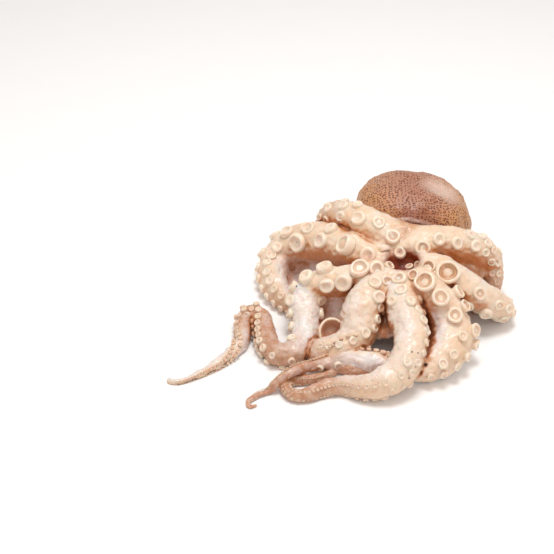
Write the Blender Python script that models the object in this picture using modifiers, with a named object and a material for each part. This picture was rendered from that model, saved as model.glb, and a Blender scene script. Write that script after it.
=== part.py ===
"""A whole octopus that lies on its back on a flat surface, with its mouth up.

The arms spread from the mouth in a ring, joined near it by the web, and lie down on the
surface in loose loops. The head and the bag-shaped mantle are behind the mouth (+Y).
It is all one solid. Sizes are in millimetres here, and MM turns them into metres.
"""
import math

import bmesh
import bpy
from mathutils import Matrix, Vector

MM = 0.001
UP = Vector((0, 0, 1))

# Body: centre and half sizes of the rounded masses.
MANTLE_CENTRE = Vector((45.5, 62, 25.5))
MANTLE_RADII = Vector((35.5, 32, 27.5))
MANTLE_DENT_FROM = Vector((0.45, -0.25, 0.86))
MANTLE_DENT_DEPTH = 4.5
MANTLE_DENT_WIDTH = 0.55
HEAD_CENTRE = Vector((38, 30, 19))
HEAD_RADII = Vector((24, 28, 20.5))
CROWN_CENTRE = Vector((31, -3, 13))
CROWN_RADII = Vector((25, 24, 18))
EYE_OFFSET = Vector((20.5, 0, 4))
EYE_RADIUS = 7.5
MOUTH_CENTRE = Vector((31, -3, 35))
MOUTH_RADII = Vector((5.5, 5, 8))

# A large sucker on a short stump of its own, between the hooked and the front left arm.
STUMP_CENTRE = Vector((-9.5, -37, 2))
STUMP_RADII = Vector((9.5, 9, 7))
STUMP_SUCKER_SIZE = 16

# Arms: each point is x, y, z, the arm's radius, and its lean: the angle from straight up
# to the side that carries the suckers, to the right of the way to the tip if positive.
# A height of 0 lets the arm lie on the floor.
ARMS = {
    "right": [
        (35, 0, 29, 6.8, 55), (41, -6, 33, 8, 55), (49, -10, 34, 9.2, 55), (58, -14, 32, 9.6, 55),
        (66, -17, 27.5, 9.4, 55), (74, -18, 22, 9.2, 60), (82, -17, 16.5, 8.8, 60),
        (88, -15, 11.5, 8, 60), (91, -12, 8, 6.8, 60), (91, -7, 0, 5.6, 60),
        (87, -3, 0, 4.4, 60), (82, -2, 0, 3.4, 60), (77, -5, 0, 2.2, 60),
    ],
    "back_right": [
        (34, 6, 29, 8.5, 40), (39, 6, 36, 10, 40), (47, 8, 40, 10.5, 40), (56, 10, 40.5, 10.3, 35),
        (66, 12, 38.5, 9.9, 25), (75, 14, 34, 9.5, 5), (82, 16, 28, 9, -20), (86, 16, 21, 8.3, -40),
        (88, 14, 14, 7.2, -60), (87, 11, 8, 6, -70), (83, 10, 0, 4.6, -80), (77, 13, 0, 3.4, -80),
        (73, 18, 0, 2.4, -80), (73, 24, 0, 1.5, -80),
    ],
    "back_left": [
        (32, 6, 29, 8.5, -45), (28, 11, 36, 10, -45), (22, 16, 41, 10.8, -45),
        (14, 22, 43.5, 10.5, -45), (7, 30, 43.5, 9.8, -45), (0, 38, 41, 9, -45),
        (-5, 46, 36, 8, -45), (-8, 52, 27, 7.2, -60), (-8, 56, 17, 6.4, -70), (-4, 58, 9, 5.6, -80),
        (4, 58, 0, 4.8, -80), (12, 62, 0, 4, -80), (17, 70, 0, 3, -80), (14, 78, 0, 2, -80),
        (8, 81, 0, 1.2, -80),
    ],
    "left": [
        (30, 2, 28, 7.5, -28), (21, 1, 32, 8.2, -28), (12, 5, 34, 9, -28), (3, 14, 33, 10.6, -28),
        (-7, 26, 29, 12, -28), (-18, 36, 24, 12.2, -24), (-28, 41, 18, 11.6, -10),
        (-36, 40, 13, 10.4, 15), (-41, 31, 0, 9.2, 40), (-41, 18, 0, 8.2, 60), (-37, 6, 0, 7, 70),
        (-31, -3, 0, 5.4, 70), (-24, -10, 0, 3.8, 70), (-18, -14, 0, 2.4, 70), (-13, -15, 0, 1.4, 70),
    ],
    "hooked": [
        (28, -2, 28, 6.8, -20), (20, -9, 31, 7.2, -22), (9, -12, 30, 7.8, -25),
        (-1, -12, 28, 8.2, -25), (-11, -10, 25, 8.4, -30), (-19, -10, 20, 8.4, -70),
        (-23, -15, 16, 8.3, -130), (-23, -23, 12, 8, -180), (-23, -33, 9, 7.6, -180),
        (-25, -44, 7, 7.1, -170), (-30, -52, 0, 6.7, -130), (-37, -53, 0, 6.4, -100),
        (-42, -47, 0, 6.2, -90), (-45, -35, 0, 5.9, -90), (-47, -23, 7, 5.6, -90),
        (-51, -16, 7.5, 5.3, -90), (-56, -17, 7, 5, -110), (-58, -25, 6, 4.7, -150),
        (-58, -34, 0, 4.4, -160), (-60, -42, 0, 4.1, -120), (-65, -49, 0, 3.5, -90),
        (-72, -57, 0, 2.9, -90), (-80, -64, 0, 2.3, -90), (-88, -69.5, 0, 1.8, -90),
        (-94, -72, 0, 1.4, -90), (-97.4, -70.5, 0, 1.2, -90), (-97.4, -67.5, 0, 1, -90),
    ],
    "front_left": [
        (30, -5, 28, 6.5, -50), (23, -17, 31, 7.6, -60), (16, -24, 29.5, 9.2, -65),
        (11, -30, 25.5, 10.6, -70), (8, -36, 20.5, 11.2, -75), (7, -41, 15.5, 10.8, -75),
        (4, -46, 11.5, 9.8, -75), (-2, -50, 8.8, 8.6, -70), (-9, -51, 0, 7.6, -65),
        (-15, -50, 0, 6.9, -65), (-16, -54, 0, 5.2, -70), (-10, -59, 0, 4.2, -80),
        (-2, -62, 0, 3.6, -80), (6, -64.5, 0, 3.2, -80), (12, -66, 0, 2.4, -80),
    ],
    "front": [
        (32, -6, 28, 6.5, -60), (30, -19, 31, 7.8, -65), (30, -30, 29, 9.3, -68),
        (31, -39, 26, 10, -70), (33, -48, 23, 9.8, -72), (34, -57, 20.5, 9.3, -75),
        (32.5, -66, 18.5, 9, -80), (30, -73, 15.5, 9, -85), (25, -79, 12, 8.8, -90),
        (17, -83, 9, 8.2, -90), (8, -83, 0, 6.8, -90), (0, -80, 0, 5.5, -85), (-7, -79, 0, 4.9, -80),
        (-15, -81.5, 0, 4.5, -80), (-22, -85, 0, 4, -75), (-28.5, -86, 0, 3.7, -50),
        (-33, -82, 0, 3.5, -20), (-34, -76.5, 0, 3.4, 20), (-31.5, -72.5, 0, 3.2, 60),
        (-26, -71.5, 0, 3, 75), (-20, -70.5, 0, 2.8, 80), (-14, -67.5, 0, 2.4, 80),
        (-8, -64.5, 0, 1.9, 80),
    ],
    "front_right": [
        (34, -2, 28, 6.8, 5), (38, -14, 31, 8, 5), (44, -23, 30, 9.6, 0), (49, -30, 27, 10.4, -5),
        (54, -35, 22, 11, -15), (57, -40, 17, 11.6, -30), (57.5, -47, 13.5, 12.2, -45),
        (55, -55, 11.5, 11.8, -60), (50, -62, 10, 10.4, -70), (44, -66, 0, 8.8, -70),
        (38, -67, 0, 7.8, -60), (31, -66, 0, 7, -20), (24, -64, 0, 6.8, 20), (16, -62, 6.4, 6.5, 50),
        (9, -60, 6.6, 5.9, 60), (1, -58.5, 6.4, 5.1, 60), (-7, -59, 6, 4.3, 60),
        (-14, -61, 5.4, 3.4, 60), (-21, -65, 6.4, 3, 60), (-27, -70, 8.6, 2.8, 60),
        (-33, -75, 9, 2.6, 60), (-39, -78.5, 5.4, 2.3, 60), (-43, -80.5, 0, 2.1, 60),
        (-48, -83, 0, 1.9, 60), (-52, -86, 0, 1.6, 60), (-54.5, -89.5, 0, 1.5, 60),
        (-53, -93, 0, 1.3, 60), (-50, -91.5, 0, 1.1, 60),
    ],
}
FLOOR_PRESS = 0.7
RING_SPACING = 0.85
FINE_SPACING = 0.3
TUBE_RESOLUTION = 2

# Web between neighbours in the ring of arms, as the length that it follows of each.
WEBS = {
    ("right", "back_right"): (58, 54),
    ("back_right", "back_left"): (46, 44),
    ("back_left", "left"): (44, 40),
    ("left", "hooked"): (104, 44),
    ("hooked", "front_left"): (62, 60),
    ("front_left", "front"): (46, 44),
    ("front", "front_right"): (62, 46),
    ("front_right", "right"): (44, 40),
}
WEB_THICKNESS = 4.2
WEB_BELOW_ARM = 0.3
WEB_SAG = 0.22
WEB_COLUMNS = 6
WEB_ROWS = 10

# Suckers, in two rows that alternate: how far from the mouth the first one is, the
# diameter of the widest in arm radii, the step to the next in diameters, and the angle
# from the middle of the arm's sucker side to each row.
SUCKERS = {
    "right": (6, 1.2, 0.62, 30),
    "back_right": (9, 0.84, 1.1, 20),
    "back_left": (9, 0.84, 1.1, 24),
    "left": (7, 1.25, 0.62, 32),
    "hooked": (6, 1.25, 0.62, 32),
    "front_left": (6, 0.85, 0.62, 28),
    "front": (6, 0.8, 0.62, 28),
    "front_right": (6, 1.25, 0.62, 32),
}
SUCKER_WIDEST_AT = 32
SUCKER_WIDE_FOR = 34
SUCKER_NARROWEST = 0.55
SUCKER_SMALLEST = 5
SUCKER_SIDES = 7
# Profile of a sucker of radius 1: radius and height above the skin, from the stalk over
# the rim and down into the cup.
SUCKER_PROFILE = [(0.66, -0.5), (1.0, 0.32), (0.8, 0.44), (0.42, 0.12), (0.0, 0.05)]

# Surface quality.
SPHERE_SEGMENTS = 32
SPHERE_RINGS = 20
MERGE_DISTANCE = 0.01
VOXEL = 1.5
SMOOTH_STEPS = 2
SKIN_FACES_KEPT = 0.048
JOINED_FACES_KEPT = 0.7
SMALLEST_PIECE_FACES = 200
FLOOR_BOX_WIDTH = 400
FLOOR_BOX_DEPTH = 50

FLESH_COLOUR = (0.72, 0.48, 0.34, 1)
FLESH_ROUGHNESS = 0.35


def clear_scene():
    for old in list(bpy.data.objects):
        bpy.data.objects.remove(old)
    for old in list(bpy.data.collections):
        bpy.data.collections.remove(old)


def new_collection(name):
    made = bpy.data.collections.new(name)
    bpy.context.scene.collection.children.link(made)
    return made


def flesh():
    material = bpy.data.materials.new("flesh")
    material.use_nodes = True
    shader = material.node_tree.nodes["Principled BSDF"]
    shader.inputs["Base Color"].default_value = FLESH_COLOUR
    shader.inputs["Roughness"].default_value = FLESH_ROUGHNESS
    shader.inputs["Metallic"].default_value = 0
    return material


def add_object(name, data, collection):
    made = bpy.data.objects.new(name, data)
    collection.objects.link(made)
    return made


def add_operand(name, data, collection):
    """A piece that a modifier joins to, or cuts from, the octopus."""
    made = add_object(name, data, collection)
    made.hide_render = True
    made.display_type = "WIRE"
    return made


def catmull_rom(before, start, end, after, t):
    """A point between start and end on the smooth curve through all four."""
    return tuple(
        0.5 * (2 * b + (c - a) * t + (2 * a - 5 * b + 4 * c - d) * t**2
               + (3 * b - a - 3 * c + d) * t**3)
        for a, b, c, d in zip(before, start, end, after)
    )


def arm_points(name):
    """The arm's control points, with those on the floor lifted to rest there."""
    return [
        (x, y, max(z, radius - FLOOR_PRESS), radius, lean)
        for x, y, z, radius, lean in ARMS[name]
    ]


def arm_rings(name, spacing):
    """Points along the smooth arm, about spacing radii apart, and the length up to each."""
    points = arm_points(name)
    rings = []
    lengths = []
    travelled = 0.0
    for i in range(len(points) - 1):
        before = points[max(i - 1, 0)]
        after = points[min(i + 2, len(points) - 1)]
        span = (Vector(points[i + 1][:3]) - Vector(points[i][:3])).length
        radius = 0.5 * (points[i][3] + points[i + 1][3])
        steps = max(1, round(span / (spacing * radius)))
        for step in range(steps):
            ring = catmull_rom(before, points[i], points[i + 1], after, step / steps)
            if rings:
                travelled += (Vector(ring[:3]) - Vector(rings[-1][:3])).length
            rings.append(ring)
            lengths.append(travelled)
    travelled += (Vector(points[-1][:3]) - Vector(rings[-1][:3])).length
    rings.append(points[-1])
    lengths.append(travelled)
    return rings, lengths


def arm_at(rings, lengths, distance):
    """The arm's centre, radius, lean and direction at a distance along it."""
    last = len(rings) - 2
    i = next((k for k in range(last) if lengths[k + 1] >= distance), last)
    span = lengths[i + 1] - lengths[i]
    t = (distance - lengths[i]) / span
    mixed = [(1 - t) * a + t * b for a, b in zip(rings[i], rings[i + 1])]
    ahead = Vector(rings[i + 1][:3]) - Vector(rings[i][:3])
    return Vector(mixed[:3]), mixed[3], mixed[4], ahead.normalized()


def sucker_direction(ahead, lean):
    """The side of the arm that faces lean degrees to the right of straight up."""
    top = (UP - ahead * UP.dot(ahead)).normalized()
    right = ahead.cross(top)
    angle = math.radians(lean)
    return top * math.cos(angle) + right * math.sin(angle)


def arm_tube(name, collection):
    rings, _ = arm_rings(name, RING_SPACING)
    curve = bpy.data.curves.new(name, "CURVE")
    curve.dimensions = "3D"
    curve.bevel_depth = MM
    curve.bevel_resolution = TUBE_RESOLUTION
    curve.use_fill_caps = True
    spline = curve.splines.new("POLY")
    spline.points.add(len(rings) - 1)
    for point, (x, y, z, radius, _) in zip(spline.points, rings):
        point.co = (x * MM, y * MM, z * MM, 1)
        point.radius = radius
    return as_mesh(add_object(name, curve, collection), collection)


def as_mesh(source, collection):
    """A mesh object in place of a curve or of an object with modifiers."""
    graph = bpy.context.evaluated_depsgraph_get()
    mesh = bpy.data.meshes.new_from_object(source.evaluated_get(graph))
    work = bmesh.new()
    work.from_mesh(mesh)
    bmesh.ops.remove_doubles(work, verts=work.verts, dist=MERGE_DISTANCE * MM)
    work.to_mesh(mesh)
    work.free()
    name = source.name
    placed = source.matrix_world.copy()
    bpy.data.objects.remove(source)
    made = add_object(name, mesh, collection)
    made.matrix_world = placed
    return made


def round_mass(name, centre, radii, collection, shape=None):
    """An ellipsoid, with shape to move each point of its unit sphere."""
    mesh = bpy.data.meshes.new(name)
    work = bmesh.new()
    bmesh.ops.create_uvsphere(work, u_segments=SPHERE_SEGMENTS, v_segments=SPHERE_RINGS, radius=1)
    for vertex in work.verts:
        direction = vertex.co.copy()
        vertex.co = Vector(a * b for a, b in zip(direction, radii))
        if shape:
            vertex.co -= direction * shape(direction)
        vertex.co = (vertex.co + centre) * MM
    work.to_mesh(mesh)
    work.free()
    return add_object(name, mesh, collection)


def mantle_dent(direction):
    """How far the soft bag has sunk in on its upper right side."""
    apart = direction.angle(MANTLE_DENT_FROM) / MANTLE_DENT_WIDTH
    return MANTLE_DENT_DEPTH * math.exp(-apart * apart)


def web(names, reaches, collection):
    """The membrane between two neighbouring arms, which sags between them."""
    edges = [arm_rings(name, RING_SPACING) for name in names]
    mesh = bpy.data.meshes.new("web")
    work = bmesh.new()
    rows = []
    for row in range(WEB_ROWS + 1):
        ends = [arm_at(*edge, reach * row / WEB_ROWS) for edge, reach in zip(edges, reaches)]
        (left, left_radius, *_), (right, right_radius, *_) = ends
        left = left - UP * WEB_BELOW_ARM * left_radius
        right = right - UP * WEB_BELOW_ARM * right_radius
        sag = WEB_SAG * (right - left).length
        grid_row = []
        for column in range(WEB_COLUMNS + 1):
            across = column / WEB_COLUMNS
            place = left.lerp(right, across) - UP * sag * math.sin(math.pi * across)
            place.z = max(place.z, WEB_THICKNESS / 2)
            grid_row.append(work.verts.new(place * MM))
        rows.append(grid_row)
    for near, far in zip(rows, rows[1:]):
        for k in range(WEB_COLUMNS):
            work.faces.new((near[k], near[k + 1], far[k + 1], far[k]))
    bmesh.ops.recalc_face_normals(work, faces=work.faces)
    work.to_mesh(mesh)
    work.free()
    sheet = add_object("web", mesh, collection)
    shell = sheet.modifiers.new("Thickness", "SOLIDIFY")
    shell.thickness = WEB_THICKNESS * MM
    shell.offset = 0
    return as_mesh(sheet, collection)


def sucker_mesh():
    """One turned sucker of radius 1 mm, closed below."""
    mesh = bpy.data.meshes.new("sucker_profile")
    work = bmesh.new()
    outline = list(reversed(SUCKER_PROFILE)) + [(0.0, SUCKER_PROFILE[0][1])]
    points = [work.verts.new((radius * MM, 0, height * MM)) for radius, height in outline]
    for start, end in zip(points, points[1:]):
        work.edges.new((start, end))
    work.to_mesh(mesh)
    work.free()
    profile = add_object("sucker", mesh, bpy.context.scene.collection)
    turn = profile.modifiers.new("Turn", "SCREW")
    turn.steps = SUCKER_SIDES
    turn.render_steps = SUCKER_SIDES
    turn.use_merge_vertices = True
    turn.merge_threshold = MERGE_DISTANCE * MM
    turned = as_mesh(profile, bpy.context.scene.collection)
    mesh = turned.data
    bpy.data.objects.remove(turned)
    return mesh


def place_sucker(mesh, foot, direction, diameter, collection):
    sucker = add_operand("sucker", mesh, collection)
    turn = direction.to_track_quat("Z", "Y").to_matrix().to_4x4()
    sucker.matrix_world = Matrix.Translation(foot * MM) @ turn @ Matrix.Scale(diameter / 2, 4)


def arm_suckers(name, mesh, collection):
    """Two alternating rows of suckers, widest a little way out from the mouth."""
    rings, lengths = arm_rings(name, FINE_SPACING)
    distance, width, step, spread = SUCKERS[name]
    side = 1
    while distance < lengths[-1]:
        centre, radius, lean, ahead = arm_at(rings, lengths, distance)
        off_widest = (distance - SUCKER_WIDEST_AT) / SUCKER_WIDE_FOR
        fullness = SUCKER_NARROWEST + (1 - SUCKER_NARROWEST) * math.exp(-off_widest * off_widest)
        diameter = width * radius * fullness
        if diameter > SUCKER_SMALLEST:
            direction = sucker_direction(ahead, lean + side * spread)
            place_sucker(mesh, centre + direction * radius, direction, diameter, collection)
        distance += step * diameter
        side = -side


def mouth_hollow(collection):
    """The mouth, as the egg-shaped hollow that is cut from the crown."""
    cutter = round_mass("mouth", MOUTH_CENTRE, MOUTH_RADII, collection)
    cutter.hide_render = True
    cutter.display_type = "WIRE"
    return cutter


def floor_box(collection):
    """What is below the floor, to cut the underside flat."""
    mesh = bpy.data.meshes.new("below_floor")
    work = bmesh.new()
    bmesh.ops.create_cube(work, size=1)
    size = Vector((FLOOR_BOX_WIDTH, FLOOR_BOX_WIDTH, FLOOR_BOX_DEPTH)) * MM
    bmesh.ops.scale(work, vec=size, verts=work.verts)
    bmesh.ops.translate(work, vec=(0, 0, -size.z / 2), verts=work.verts)
    work.to_mesh(mesh)
    work.free()
    return add_operand("below_floor", mesh, collection)


def joined(pieces, name, collection):
    """One mesh object out of several."""
    mesh = bpy.data.meshes.new(name)
    work = bmesh.new()
    for piece in pieces:
        work.from_mesh(piece.data)
        bpy.data.objects.remove(piece)
    work.to_mesh(mesh)
    work.free()
    return add_object(name, mesh, collection)


def island(start):
    """The faces of the closed surface that one face belongs to."""
    found = {start}
    waiting = [start]
    while waiting:
        face = waiting.pop()
        for edge in face.edges:
            for neighbour in edge.link_faces:
                if neighbour not in found:
                    found.add(neighbour)
                    waiting.append(neighbour)
    return found


def drop_small_pieces(target):
    """Fill the pockets that the joined forms close off, and drop any crumbs."""
    work = bmesh.new()
    work.from_mesh(target.data)
    left = set(work.faces)
    small = []
    while left:
        piece = island(next(iter(left)))
        left -= piece
        if len(piece) < SMALLEST_PIECE_FACES:
            small.extend(piece)
    bmesh.ops.delete(work, geom=small, context="FACES")
    work.to_mesh(target.data)
    work.free()


def add_boolean(target, name, operation):
    cut = target.modifiers.new(name, "BOOLEAN")
    cut.operation = operation
    cut.solver = "EXACT"
    return cut


def main():
    clear_scene()
    parts = new_collection("Octopus")
    cutters = new_collection("Cutters")
    suckers = new_collection("Suckers")

    masses = [arm_tube(name, parts) for name in ARMS]
    masses += [web(names, reaches, parts) for names, reaches in WEBS.items()]
    masses.append(round_mass("mantle", MANTLE_CENTRE, MANTLE_RADII, parts, mantle_dent))
    masses.append(round_mass("head", HEAD_CENTRE, HEAD_RADII, parts))
    masses.append(round_mass("crown", CROWN_CENTRE, CROWN_RADII, parts))
    masses.append(round_mass("stump", STUMP_CENTRE, STUMP_RADII, parts))
    for side in (-1, 1):
        place = HEAD_CENTRE + Vector((side * EYE_OFFSET.x, EYE_OFFSET.y, EYE_OFFSET.z))
        masses.append(round_mass("eye", place, Vector((EYE_RADIUS,) * 3), parts))

    octopus = joined(masses, "octopus", parts)
    skin = octopus.modifiers.new("One skin", "REMESH")
    skin.mode = "VOXEL"
    skin.voxel_size = VOXEL * MM
    ease = octopus.modifiers.new("Ease", "SMOOTH")
    ease.iterations = SMOOTH_STEPS
    octopus.modifiers.new("Fewer faces", "DECIMATE").ratio = SKIN_FACES_KEPT
    octopus = as_mesh(octopus, parts)
    drop_small_pieces(octopus)

    mesh = sucker_mesh()
    for name in ARMS:
        arm_suckers(name, mesh, suckers)
    stump_top = STUMP_CENTRE + UP * STUMP_RADII.z
    place_sucker(mesh, stump_top, UP, STUMP_SUCKER_SIZE, suckers)
    add_boolean(octopus, "Suckers", "UNION").operand_type = "COLLECTION"
    octopus.modifiers["Suckers"].collection = suckers
    add_boolean(octopus, "Mouth", "DIFFERENCE").object = mouth_hollow(cutters)
    octopus.modifiers.new("Fewer slivers", "DECIMATE").ratio = JOINED_FACES_KEPT
    add_boolean(octopus, "Flat underside", "DIFFERENCE").object = floor_box(cutters)
    octopus = as_mesh(octopus, parts)
    drop_small_pieces(octopus)
    octopus.data.materials.clear()
    octopus.data.materials.append(flesh())


main()
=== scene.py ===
"""The looks of a whole raw octopus that lies on its back, mouth up, on a pale surface.

The skin of the arms, web, crown and head is one smooth surface, made as a distance field
round the same arm routes as the solid. The mantle is a bag of its own that opens round
the head, and each arm's suckers are turned cups. Lengths here are in millimetres, and MM
turns them into metres.
"""
import copy
import math

import bmesh
import bpy
import numpy as np
import openvdb
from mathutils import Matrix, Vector


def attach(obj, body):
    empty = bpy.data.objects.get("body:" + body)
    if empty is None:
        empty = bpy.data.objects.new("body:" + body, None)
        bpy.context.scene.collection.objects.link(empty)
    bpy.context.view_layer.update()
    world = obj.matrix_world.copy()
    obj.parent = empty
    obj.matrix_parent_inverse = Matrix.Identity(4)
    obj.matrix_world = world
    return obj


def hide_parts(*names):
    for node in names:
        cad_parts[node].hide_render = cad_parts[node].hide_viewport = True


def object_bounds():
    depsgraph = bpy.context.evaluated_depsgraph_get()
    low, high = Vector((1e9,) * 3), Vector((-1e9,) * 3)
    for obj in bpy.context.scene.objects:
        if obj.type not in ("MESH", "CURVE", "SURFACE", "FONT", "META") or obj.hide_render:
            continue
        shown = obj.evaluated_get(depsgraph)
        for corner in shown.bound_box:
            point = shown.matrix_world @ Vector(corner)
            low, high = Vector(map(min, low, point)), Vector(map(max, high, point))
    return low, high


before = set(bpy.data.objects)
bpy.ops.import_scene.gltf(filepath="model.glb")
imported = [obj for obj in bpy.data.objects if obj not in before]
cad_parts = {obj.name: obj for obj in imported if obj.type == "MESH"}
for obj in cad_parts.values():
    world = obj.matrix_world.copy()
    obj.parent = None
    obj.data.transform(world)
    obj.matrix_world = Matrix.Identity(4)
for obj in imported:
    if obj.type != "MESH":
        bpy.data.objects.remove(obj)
solid_low, solid_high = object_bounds()

MM = 0.001
UP = np.array((0.0, 0.0, 1.0))

# Arms: each point is x, y, z, the arm's radius, and its lean: the angle from straight up
# to the side that carries the suckers, to the right of the way to the tip if positive.
# A height of 0 lets the arm lie on the floor.
ARMS = {
    "right": [
        (35, 0, 29, 6.8, 55), (41, -6, 33, 8, 55), (49, -10, 34, 9.2, 55), (58, -14, 32, 9.6, 55),
        (66, -17, 27.5, 9.4, 55), (74, -18, 22, 9.2, 60), (82, -17, 16.5, 8.8, 60),
        (88, -15, 11.5, 8, 60), (91, -12, 8, 6.8, 60), (91, -7, 0, 5.6, 60),
        (87, -3, 0, 4.4, 60), (82, -2, 0, 3.4, 60), (77, -5, 0, 2.2, 60),
    ],
    "back_right": [
        (34, 6, 29, 8.5, 40), (39, 6, 35, 10, 40), (47, 8, 38.5, 10.5, 40), (56, 10, 38.7, 10.3, 35),
        (66, 12, 36.8, 9.9, 25), (75, 14, 33, 9.5, 5), (82, 16, 28, 9, -20), (86, 16, 21, 8.3, -40),
        (88, 14, 14, 7.2, -60), (87, 11, 8, 6, -70), (83, 10, 0, 4.6, -80), (77, 13, 0, 3.4, -80),
        (73, 18, 0, 2.4, -80), (73, 24, 0, 1.5, -80),
    ],
    "back_left": [
        (32, 6, 29, 8.5, -45), (28, 11, 36, 10, -45), (22, 16, 41, 10.8, -45),
        (14, 22, 43.5, 10.5, -45), (7, 30, 43.5, 9.8, -45), (0, 38, 41, 9, -45),
        (-5, 46, 36, 8, -45), (-8, 52, 27, 7.2, -60), (-8, 56, 17, 6.4, -70), (-4, 58, 9, 5.6, -80),
        (4, 58, 0, 4.8, -80), (12, 62, 0, 4, -80), (17, 70, 0, 3, -80), (14, 78, 0, 2, -80),
        (8, 81, 0, 1.2, -80),
    ],
    "left": [
        (30, 2, 28, 7.5, -28), (21, 1, 32, 8.2, -28), (12, 5, 34, 9, -28), (3, 14, 33, 10.6, -28),
        (-7, 26, 29, 12, -28), (-18, 36, 24, 12.2, -24), (-28, 41, 18, 11.6, -10),
        (-36, 40, 13, 10.4, 15), (-41, 31, 0, 9.2, 40), (-41, 18, 0, 8.2, 60), (-37, 6, 0, 7, 70),
        (-31, -3, 0, 5.4, 70), (-24, -10, 0, 3.8, 70), (-18, -14, 0, 2.4, 70), (-13, -15, 0, 1.4, 70),
    ],
    "hooked": [
        (28, -2, 28, 6.8, -20), (20, -9, 31, 7.2, -22), (9, -12, 30, 7.8, -25),
        (-1, -12, 28, 8.2, -25), (-11, -10, 25, 8.4, -30), (-19, -10, 20, 8.4, -70),
        (-23, -15, 16, 8.3, -130), (-23, -23, 12, 8, -180), (-23, -33, 9, 7.6, -180),
        (-25, -44, 7, 7.1, -170), (-30, -52, 0, 6.7, -130), (-37, -53, 0, 6.4, -100),
        (-42, -47, 0, 6.2, -90), (-45, -35, 0, 5.9, -80), (-47, -23, 7, 5.6, -60),
        (-51, -16, 7.5, 5.3, -20), (-56, -17, 7, 5, 30), (-58, -25, 6, 4.7, 75),
        (-58, -34, 0, 4.4, 75), (-60, -42, 0, 4.1, 20), (-65, -49, 0, 3.5, -50),
        (-72, -57, 0, 2.9, -90), (-80, -64, 0, 2.3, -90), (-88, -69.5, 0, 1.8, -90),
        (-94, -72, 0, 1.4, -90), (-97.4, -70.5, 0, 1.2, -90), (-97.4, -67.5, 0, 1, -90),
    ],
    "front_left": [
        (30, -5, 28, 6.5, -50), (23, -17, 31, 7.6, -60), (16, -24, 29.5, 9.2, -65),
        (11, -30, 25.5, 10.6, -70), (8, -36, 20.5, 11.2, -75), (7, -41, 15.5, 10.8, -75),
        (4, -46, 11.5, 9.8, -75), (-2, -50, 8.8, 8.6, -70), (-9, -51, 0, 7.6, -65),
        (-15, -50, 0, 6.9, -65), (-16, -54, 0, 5.2, -70), (-10, -59, 0, 4.2, -80),
        (-2, -62, 0, 3.6, -80), (6, -64.5, 0, 3.2, -80), (12, -66, 0, 2.4, -80),
    ],
    "front": [
        (32, -6, 28, 6.5, -60), (30, -19, 31, 7.8, -65), (30, -30, 29, 9.3, -68),
        (31, -39, 26, 10, -70), (33, -48, 23, 9.8, -72), (34, -57, 20.5, 9.3, -75),
        (32.5, -66, 18.5, 9, -80), (30, -73, 15.5, 9, -85), (25, -79, 12, 8.8, -90),
        (17, -83, 9, 8.2, -90), (8, -83, 0, 6.8, -90), (0, -80, 0, 5.5, -85), (-7, -79, 0, 4.9, -80),
        (-15, -81.5, 0, 4.5, -80), (-22, -85, 0, 4, -75), (-28.5, -86, 0, 3.7, -50),
        (-33, -82, 0, 3.5, -20), (-34, -76.5, 0, 3.4, 20), (-31.5, -72.5, 0, 3.2, 60),
        (-26, -71.5, 0, 3, 75), (-20, -70.5, 0, 2.8, 80), (-14, -67.5, 0, 2.4, 80),
        (-8, -64.5, 0, 1.9, 80),
    ],
    "front_right": [
        (34, -2, 28, 6.8, 5), (38, -14, 31, 8, 5), (44, -23, 30, 9.6, 0), (49, -30, 27, 10.4, -5),
        (54, -35, 22, 11, -15), (57, -40, 17, 11.6, -30), (57.5, -47, 13.5, 12.2, -45),
        (55, -55, 11.5, 11.8, -60), (50, -62, 10, 10.4, -70), (44, -66, 0, 8.8, -70),
        (38, -67, 0, 7.8, -60), (31, -66, 0, 7, -20), (24, -64, 0, 6.8, 20), (16, -62, 6.4, 6.5, 50),
        (9, -60, 6.6, 5.9, 60), (1, -58.5, 6.4, 5.1, 60), (-7, -59, 6, 4.3, 60),
        (-14, -61, 5.4, 3.4, 60), (-21, -65, 6.4, 3, 60), (-27, -70, 8.6, 2.8, 60),
        (-33, -75, 9, 2.6, 60), (-39, -78.5, 5.4, 2.3, 60), (-43, -80.5, 0, 2.1, 60),
        (-48, -83, 0, 1.9, 60), (-52, -86, 0, 1.6, 60), (-54.5, -89.5, 0, 1.5, 60),
        (-53, -93, 0, 1.3, 60), (-50, -91.5, 0, 1.1, 60),
    ],
}
FLOOR_PRESS = 0.7

# Web between neighbours in the ring of arms: the length that it follows of each, how high
# on the arms it is rooted, in arm radii above their middles, and how far it sags.
WEBS = {
    ("right", "back_right"): (58, 54, -0.3, 0.22),
    ("back_right", "back_left"): (46, 44, 0.8, 0.04),
    ("back_left", "left"): (44, 40, -0.3, 0.22),
    ("left", "hooked"): (104, 44, -0.3, 0.22),
    ("hooked", "front_left"): (62, 60, -0.3, 0.22),
    ("front_left", "front"): (46, 44, -0.3, 0.22),
    ("front", "front_right"): (62, 46, -0.3, 0.22),
    ("front_right", "right"): (44, 40, -0.3, 0.22),
}
WEB_THICKNESS = 3.2

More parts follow.
